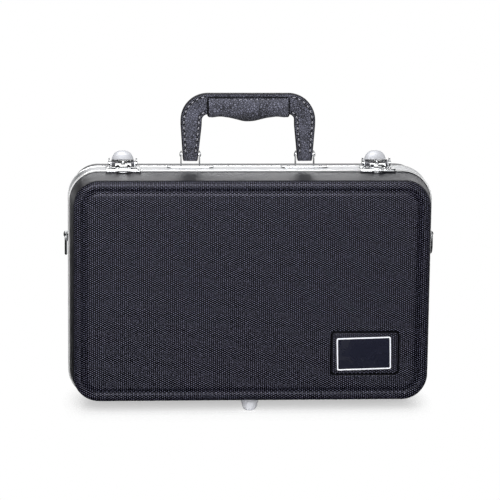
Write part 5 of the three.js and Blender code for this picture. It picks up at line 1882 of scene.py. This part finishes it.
def makeFloor():
    mesh = bpy.data.meshes.new("floor")
    half = stageForm["floorSize"] / 2
    mesh.from_pydata([(-half, -half, 0), (half, -half, 0), (half, half, 0), (-half, half, 0)], [],
                     [(0, 1, 2, 3)])
    floor = bpy.data.objects.new("studio_floor", mesh)
    bpy.context.scene.collection.objects.link(floor)
    material = bpy.data.materials.new("paleFloor")
    material.use_nodes = True
    tree = material.node_tree
    tree.nodes.clear()
    where = objectPlace(tree)
    size = place(tree, "ShaderNodeVectorMath", {0: where}, operation="ABSOLUTE").outputs[0]
    away = place(tree, "ShaderNodeVectorMath", {0: size}, operation="LENGTH").outputs["Value"]
    beside = place(tree, "ShaderNodeVectorMath", {0: size, 1: (stageForm["shadowHalfWidth"], 0, 0)},
                   operation="SUBTRACT").outputs[0]
    outside = place(tree, "ShaderNodeVectorMath", {0: beside}, operation="MAXIMUM").outputs[0]
    spread = place(tree, "ShaderNodeVectorMath", {0: outside, 1: (stageForm["sideFade"], 1, 1)},
                   operation="MULTIPLY").outputs[0]
    outward = place(tree, "ShaderNodeVectorMath", {0: spread}, operation="LENGTH").outputs["Value"]
    fading = rescale(tree, outward, 0.0, stageForm["shadowReach"], 1 - stageForm["shadowShare"], 1.0)
    path = place(tree, "ShaderNodeLightPath").outputs
    inGloss = maths(tree, "MAXIMUM", path["Is Glossy Ray"], path["Is Transmission Ray"])
    dimmed = rescale(tree, away, stageForm["glossFrom"], stageForm["glossReach"],
                     stageForm["glossNear"], 1.0)
    pale = stageForm["floorWhite"]
    matt = place(tree, "ShaderNodeBsdfDiffuse", {"Color": (pale, pale, pale, 1)}).outputs[0]
    white = place(tree, "ShaderNodeEmission", {"Color": (1, 1, 1, 1), "Strength": dimmed}).outputs[0]
    solid = place(tree, "ShaderNodeMixShader", {0: inGloss, 1: matt, 2: white}).outputs[0]
    # Beyond its shadow the floor shows the white world behind it, and a lid that opens below the feet.
    clear = maths(tree, "MAXIMUM", path["Is Camera Ray"], path["Is Shadow Ray"])
    clear = maths(tree, "MULTIPLY", clear, fading)
    through = place(tree, "ShaderNodeBsdfTransparent").outputs[0]
    mixed = place(tree, "ShaderNodeMixShader", {0: clear, 1: solid, 2: through}).outputs[0]
    output = tree.nodes.new("ShaderNodeOutputMaterial")
    tree.links.new(mixed, output.inputs["Surface"])
    mesh.materials.append(material)


def makeWorld():
    world = bpy.data.worlds.new("studio")
    bpy.context.scene.world = world
    world.use_nodes = True
    tree = world.node_tree
    tree.nodes.clear()
    form = stageForm
    path = place(tree, "ShaderNodeLightPath").outputs
    inGloss = maths(tree, "MAXIMUM", path["Is Glossy Ray"], path["Is Transmission Ray"])
    seen = maths(tree, "MAXIMUM", path["Is Camera Ray"], inGloss)
    generated = place(tree, "ShaderNodeTexCoord").outputs["Generated"]
    towards = place(tree, "ShaderNodeSeparateXYZ", {0: generated}).outputs
    backSide = rescale(tree, towards["Y"], *form["backSide"], 0.0, 1.0, smooth=True)
    low = rescale(tree, towards["Z"], form["backdropTop"] + form["backdropEdge"], form["backdropTop"],
                  0.0, 1.0, smooth=True)
    left = rescale(tree, towards["X"], form["backdropLeft"] - form["backdropLeftEdge"],
                   form["backdropLeft"], 0.0, 1.0, smooth=True)
    backdrop = maths(tree, "MULTIPLY", backSide, maths(tree, "MULTIPLY", low, left))
    ceilingFrom = form["ceilingFrom"]
    ceiling = rescale(tree, towards["Z"], ceilingFrom, ceilingFrom + form["ceilingEdge"],
                      0.0, form["ceilingGlow"], smooth=True)
    walls = rescale(tree, backdrop, 0.0, 1.0, form["roomShade"], 1.0)
    room = maths(tree, "MAXIMUM", walls, ceiling)
    shown = place(tree, "ShaderNodeMix", {0: path["Is Camera Ray"], 2: room, 3: 1.0}).outputs[0]
    strength = place(tree, "ShaderNodeMix", {0: seen, 2: form["skyFill"], 3: shown}).outputs[0]
    background = place(tree, "ShaderNodeBackground", {
        "Color": (1, 1, 1, 1), "Strength": strength,
    }).outputs[0]
    output = tree.nodes.new("ShaderNodeOutputWorld")
    tree.links.new(background, output.inputs["Surface"])


lampForm = {
    "overhead": {"from": (0.0, -0.3, 1.7), "size": (1.2, 0.7), "watts": 5, "inGloss": True},
    "front": {"from": (-0.2, -1.25, 0.98), "size": (1.0, 0.75), "watts": 19, "inGloss": True},
    "back": {"from": (0.0, 1.9, 1.05), "size": (2.2, 0.4), "watts": 7, "inGloss": True},
}


def makeLamps():
    aim = Vector((0, 0, middleZ * mm))
    for name, form in lampForm.items():
        data = bpy.data.lights.new(name, "AREA")
        data.shape = "RECTANGLE"
        data.size, data.size_y = form["size"]
        data.energy = form["watts"]
        lamp = bpy.data.objects.new(name, data)
        bpy.context.scene.collection.objects.link(lamp)
        lamp.visible_glossy = form["inGloss"]
        lamp.location = form["from"]
        lamp.rotation_euler = (aim - Vector(form["from"])).to_track_quat("-Z", "Y").to_euler()


cameraForm = {
    "place": (-0.1955, -2.7236, 0.7284), "lens": 200, "sensor": 36, "downDegrees": 11.8176,
    "rightDegrees": 4.125, "rollDegrees": 0.6576,
}


def makeCamera():
    form = cameraForm
    data = bpy.data.cameras.new("view")
    data.lens = form["lens"]
    data.sensor_width = form["sensor"]
    data.clip_start, data.clip_end = 0.05, 100
    camera = bpy.data.objects.new("view", data)
    bpy.context.scene.collection.objects.link(camera)
    down, right, roll = (math.radians(form[key])
                         for key in ("downDegrees", "rightDegrees", "rollDegrees"))
    ahead = Vector((math.sin(right) * math.cos(down), math.cos(right) * math.cos(down),
                    -math.sin(down)))
    level = Vector((math.cos(right), -math.sin(right), 0))
    above = level.cross(ahead)
    across = level * math.cos(roll) + above * math.sin(roll)
    upwards = above * math.cos(roll) - level * math.sin(roll)
    turn = Matrix((across, upwards, -ahead)).transposed().to_4x4()
    camera.matrix_world = Matrix.Translation(form["place"]) @ turn
    bpy.context.scene.camera = camera


makeFloor()
makeWorld()
makeLamps()
makeCamera()
bpy.context.scene.view_settings.view_transform = "Standard"
print("stage lit")
